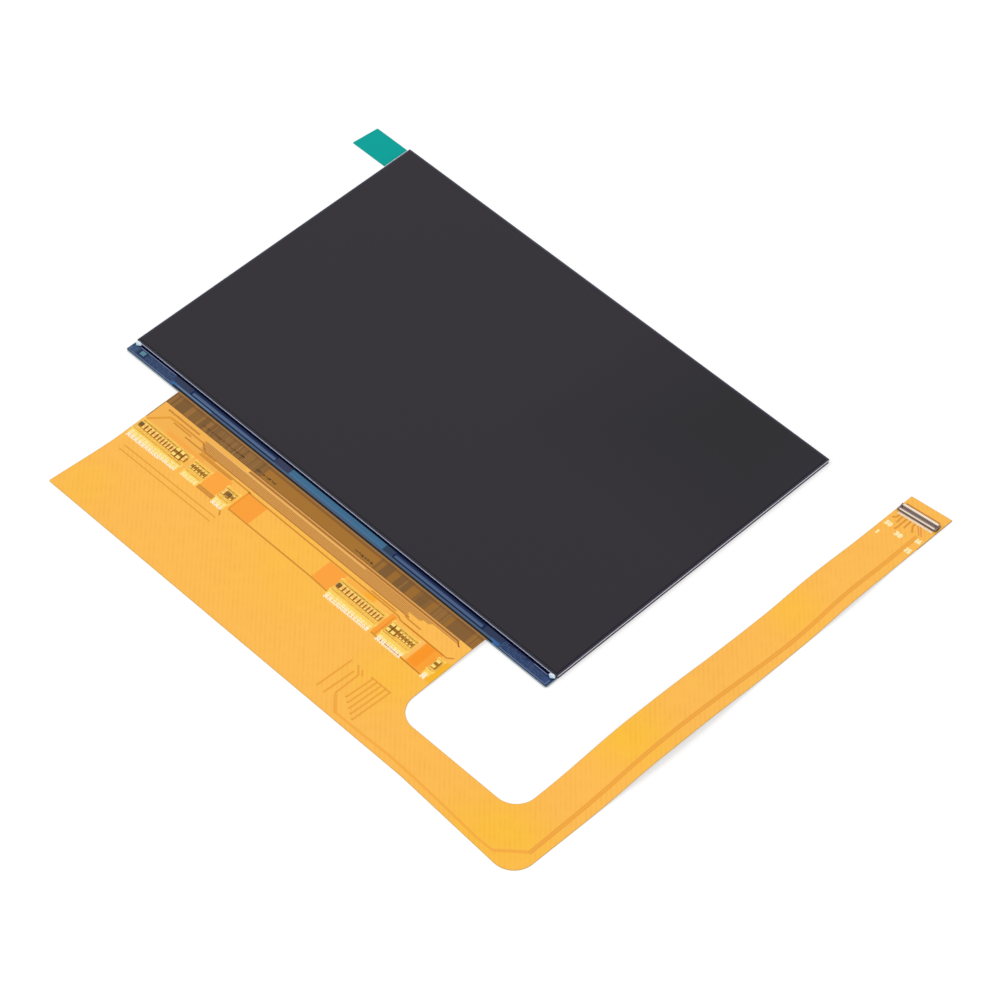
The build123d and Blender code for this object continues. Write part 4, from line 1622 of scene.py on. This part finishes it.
@dataclass
class PartsBand(SubAssembly):
    """The small parts in the windows, their solder and the numbers printed under them."""

    land_length: float = 0.34
    land_height: float = 0.05
    land_share: float = 0.92
    land_gap: float = 0.08
    longest_soldered: float = 2.7
    number_margin: float = 0.3
    rows: tuple[LabelRow, ...] = (
        LabelRow(5, 4, -64.8, -67.2), LabelRow(5, 3, -64.95, -67.05),
        LabelRow(4, 3, -64.75, -66.7), LabelRow(5, 2, -64.8, -66.2),
        LabelRow(3, 3, -64.85, -66.95), LabelRow(13, 3, -65.2, -67.2),
        LabelRow(7, 3, -65.35, -67.35), LabelRow(1, 3, -65.4, -67.4),
    )

    def finishes(self, row_y: float) -> None:
        """Dress the parts by kind."""
        kind = partial(EndedFinish, row_y=row_y)
        # The capacitors keep the default flank colour: painted shade on their sides.
        self.dress(
            kind("capacitor body", seen(250, 192, 110)), "capacitors", "large_capacitors"
        )
        self.dress(kind("resistor body", seen(158, 112, 54)), "resistors")
        coil = kind(
            "coil body", seen(156, 112, 44), body_half=0.42, tin=seen(255, 224, 124),
            flank=seen(190, 138, 60)
        )
        self.dress(coil, "coils")
        mould = kind(
            "moulded body", seen(122, 98, 62), body_half=0.62, tin=seen(226, 176, 104),
            flank=seen(176, 130, 66)
        )
        self.dress(mould, "diodes", "power_chip")

    def parts(self) -> list[Island]:
        """All small parts in order along X."""
        nodes = ("capacitors", "large_capacitors", "resistors", "coils", "diodes", "power_chip")
        found = [island for node in nodes for island in islands(node)]
        return sorted(found, key=lambda island: island.centre.x)

    def solder(self, parts: Sequence[Island]) -> None:
        """Set a solder fillet before both ends of each part."""
        spots = []
        sizes = []
        for part in parts:
            for y in (part.low.y - self.land_gap, part.high.y + self.land_gap):
                spots.append((part.centre.x, y, 0.0))
                size = (part.size.x * self.land_share, self.land_length, self.land_height)
                sizes.append(Vector(size) * MM)
        finish = Finish("part solder", seen(255, 220, 122), roughness=0.3, grain_spread=0.12)
        self.fillets("part_solder", 12, spots, 0.0, sizes, finish)

    def numbers(self, parts: Sequence[Island]) -> None:
        """Print a plain number under each part."""
        labels = []
        left = iter(parts)
        for row in self.rows:
            for n, part in zip(range(row.parts), left):
                half = (part.size.x + self.number_margin) / 2
                x = part.centre.x
                text = str(2 * 10 ** (row.digits - 1) + 7 * n)
                labels.append(Label(text, (x - half, row.bottom), (x + half, row.top), True))
        upper = Patch((-60.0, -65.95), (60.0, -64.0), seen(255, 236, 156), 0.9, 0.4)
        ink = FieldFinish(
            "white ink", seen(255, 248, 222), fields=(upper,), mottle=seen(255, 240, 200),
            grain_spread=0.03
        )
        self.printing("part_numbers", labels, ink, 0.06)

    def build(self) -> None:
        """Dress the parts, solder them and print their numbers."""
        parts = self.parts()
        self.finishes(sum(part.centre.y for part in parts) / len(parts))
        self.solder([part for part in parts if part.size.y < self.longest_soldered])
        self.numbers(parts)


@dataclass
class Header(SubAssembly):
    """The board-to-board header on the tail's head, with its traces and pin numbers."""

    solder_width: float = 0.37
    solder_height: float = 0.09
    near_length: float = 0.66
    near_reach: float = 0.68
    far_length: float = 0.5
    far_reach: float = 0.95
    fan_width: float = 0.5
    pair_width: float = 0.32
    groove: Point = (-0.7, 0.55)

    def finishes(self, centre: Vector, turn: float) -> None:
        """Dress the housing, the contacts and the anchors in bands along their length."""
        front, back = self.groove
        # Painted shade on the contacts in the groove and on their tails behind the far rail.
        groove = (
            Patch((-9.0, front), (9.0, back), seen(190, 172, 162)),
            Patch((-9.0, 1.12), (9.0, 2.4), seen(158, 106, 62)),
        )
        # Painted shade along the near side of the header, in front of the near rail.
        near_wall_shade = (Patch((-9.0, -1.2), (9.0, -1.06), seen(124, 104, 94), 1.0, 0.04),)
        # Painted highlight: the rail tops lighter than the rest of the housing.
        rail_highlights = (
            Patch((-5.2, back), (5.2, 1.2), seen(230, 212, 196)),
            Patch((-5.2, -1.06), (5.2, front), seen(214, 196, 186)),
        )
        banded = partial(FieldFinish, origin=(centre.x, centre.y), turn=turn)
        plastic = banded(
            "header plastic", seen(138, 122, 114), roughness=0.45, fields=rail_highlights + near_wall_shade,
            mottle=seen(124, 108, 100)
        )
        self.dress(plastic, "header_housing")
        metal = banded(
            "contact metal", seen(255, 244, 230), roughness=0.3, fields=groove + near_wall_shade,
            mottle=seen(250, 232, 214)
        )
        self.dress(metal, "header_contacts_inner", "header_contacts_outer")
        self.dress(Finish("anchor metal", seen(112, 94, 84), roughness=0.35), "header_anchors")

    def solder(self, turn: float) -> None:
        """Set a solder fillet over each contact's tail, bright in front and in shade behind."""
        bright = Finish("header solder", seen(255, 244, 226), roughness=0.25)
        shaded = Finish("far solder", seen(170, 116, 66), roughness=0.35)
        rows = (
            ("near", "header_contacts_inner", -self.near_reach, self.near_length, bright),
            ("far", "header_contacts_outer", self.far_reach, self.far_length, shaded),
        )
        for side, node, reach, length, finish in rows:
            across = Vector((-math.sin(turn), math.cos(turn), 0.0)) * reach
            spots = [(contact.centre + across).to_2d().to_3d() for contact in islands(node)]
            size = Vector((self.solder_width, length, self.solder_height)) * MM
            sizes = [size] * len(spots)
            self.fillets(f"header_solder_{side}", 8, spots, turn, sizes, finish)

    def fan(self) -> None:
        """Lay the traces that fan out under the header."""
        paths = [
            [(96.4, 48.7), (96.3, 47.5), (95.5, 46.8)],
            [(97.3, 48.8), (97.4, 46.2)],
            [(98.5, 49.0), (98.5, 45.0), (98.2, 44.4)],
            [(99.7, 49.1), (99.8, 46.2)],
            [(100.9, 49.2), (101.0, 48.0), (102.2, 46.5)],
        ]
        amber = trace_finish("fan trace", 226, 152, 62, 0.08)
        self.strips("fan_traces", paths, self.fan_width, amber)
        paths = [[(101.7, 49.2), (103.9, 46.9)], [(102.45, 49.3), (104.6, 47.1)]]
        rosy = trace_finish("fan pair", 232, 152, 76, 0.08)
        self.strips("fan_pair", paths, self.pair_width, rosy)

    def build(self) -> None:
        """Dress the header, solder it, lay the fan and print the pin numbers."""
        centre, turn = header_frame()
        self.finishes(centre, turn)
        self.solder(turn)
        self.fan()
        labels = [
            Label("50", (95.3, 43.9), (97.3, 45.5)), Label("38", (99.2, 43.0), (101.4, 44.5)),
            Label("1", (95.75, 40.3), (96.3, 41.6)), Label("26", (103.9, 44.8), (105.9, 46.4)),
            Label("25", (104.0, 40.9), (106.0, 42.5)),
        ]
        cream = Finish("cream ink", seen(255, 238, 180), grain_spread=0.03)
        self.printing("pin_numbers", labels, cream, 0.07)


@dataclass
class Studio:
    """Camera, light, floor and background."""

    azimuth: float = 44.955
    elevation: float = 50.582
    roll: float = 0.426
    eye: Size = (468.7, -460.2, 762.9)
    focal_pixels: float = 4101.0
    frame_pixels: float = 1000.0
    sensor: float = 36.0
    side_light: float = 0.75
    lamp_energy: float = 0.9
    lamp_angle: float = 30.0
    lamp_turn: Point = (28.0, -24.0)
    floor_half: float = 3000.0
    floor_drop: float = 0.02
    floor_tone: float = 0.45
    floor_glow: float = 0.6

    def camera(self) -> None:
        """Place the camera at the photograph's viewpoint."""
        az, el, roll = (math.radians(a) for a in (self.azimuth, self.elevation, self.roll))
        right = Vector((math.cos(az), math.sin(az), 0.0))
        ahead = Vector((-math.sin(az) * math.cos(el), math.cos(az) * math.cos(el), -math.sin(el)))
        up = right.cross(ahead)
        local_x = right * math.cos(roll) + up * math.sin(roll)
        local_y = up * math.cos(roll) - right * math.sin(roll)
        turn = Matrix((local_x, local_y, -ahead)).transposed()
        lens = bpy.data.cameras.new("camera")
        lens.sensor_width = self.sensor
        lens.lens = self.focal_pixels / self.frame_pixels * self.sensor
        view = linked("camera", lens)
        view.matrix_world = Matrix.Translation(Vector(self.eye) * MM) @ turn.to_4x4()
        bpy.context.scene.camera = view

    def light(self) -> None:
        """Level white surroundings and one soft lamp from the upper left."""
        world = bpy.data.worlds.new("surroundings")
        bpy.context.scene.world = world
        world.use_nodes = True
        world.node_tree.nodes.clear()
        net = Wiring(world.node_tree)
        path = net.add("ShaderNodeLightPath").outputs
        direct = net.math("MAXIMUM", path["Is Camera Ray"], path["Is Glossy Ray"])
        direct = net.math("MAXIMUM", direct, path["Is Transmission Ray"])
        rest = self.side_light
        strength = net.math("MULTIPLY_ADD", direct, 1 - rest, rest)
        glow = net.shade("Background", {"Color": (1.0, 1.0, 1.0, 1.0), "Strength": strength})
        net.add("ShaderNodeOutputWorld", {"Surface": glow})
        lamp = bpy.data.lights.new("soft lamp", "SUN")
        lamp.energy = self.lamp_energy
        lamp.angle = math.radians(self.lamp_angle)
        holder = linked("soft lamp", lamp)
        holder.rotation_euler = (*(math.radians(turn) for turn in self.lamp_turn), 0.0)

    def floor(self) -> None:
        """Pale floor that reads as white and keeps the shadow."""
        side = self.floor_half
        corners = ring((-side, -side), (side, side))[:4]
        vertices = [(x, y, -self.floor_drop) for x, y in corners]
        plane = mesh_object("floor", vertices, [], [(0, 1, 2, 3)])
        material, net = blank_material("floor paper")
        direct = net.add("ShaderNodeLightPath").outputs["Is Camera Ray"]
        tone = self.floor_tone
        inputs = {
            "Base Color": (tone, tone, tone, 1.0), "Roughness": 1.0, "Specular IOR Level": 0.0
        }
        paper = net.shade("BsdfPrincipled", inputs)
        glow = net.shade("Emission", {"Strength": net.math("MULTIPLY", direct, self.floor_glow)})
        both = net.shade("AddShader", {0: paper, 1: glow})
        net.add("ShaderNodeOutputMaterial", {"Surface": both})
        plane.data.materials.append(material)

    def build(self) -> None:
        """Set the stage and the plain view transform."""
        self.camera()
        self.light()
        self.floor()
        bpy.context.scene.view_settings.view_transform = "Standard"


def main() -> None:
    """Build every sub-assembly in order and report it."""
    logging.basicConfig(level=logging.INFO, format="%(message)s")
    for part in (Studio(), GlassCell(), BondLedge(), FlexCircuit(), PartsBand(), Header()):
        log.info("building %s", type(part).__name__)
        part.build()


if __name__ == "__main__":
    main()
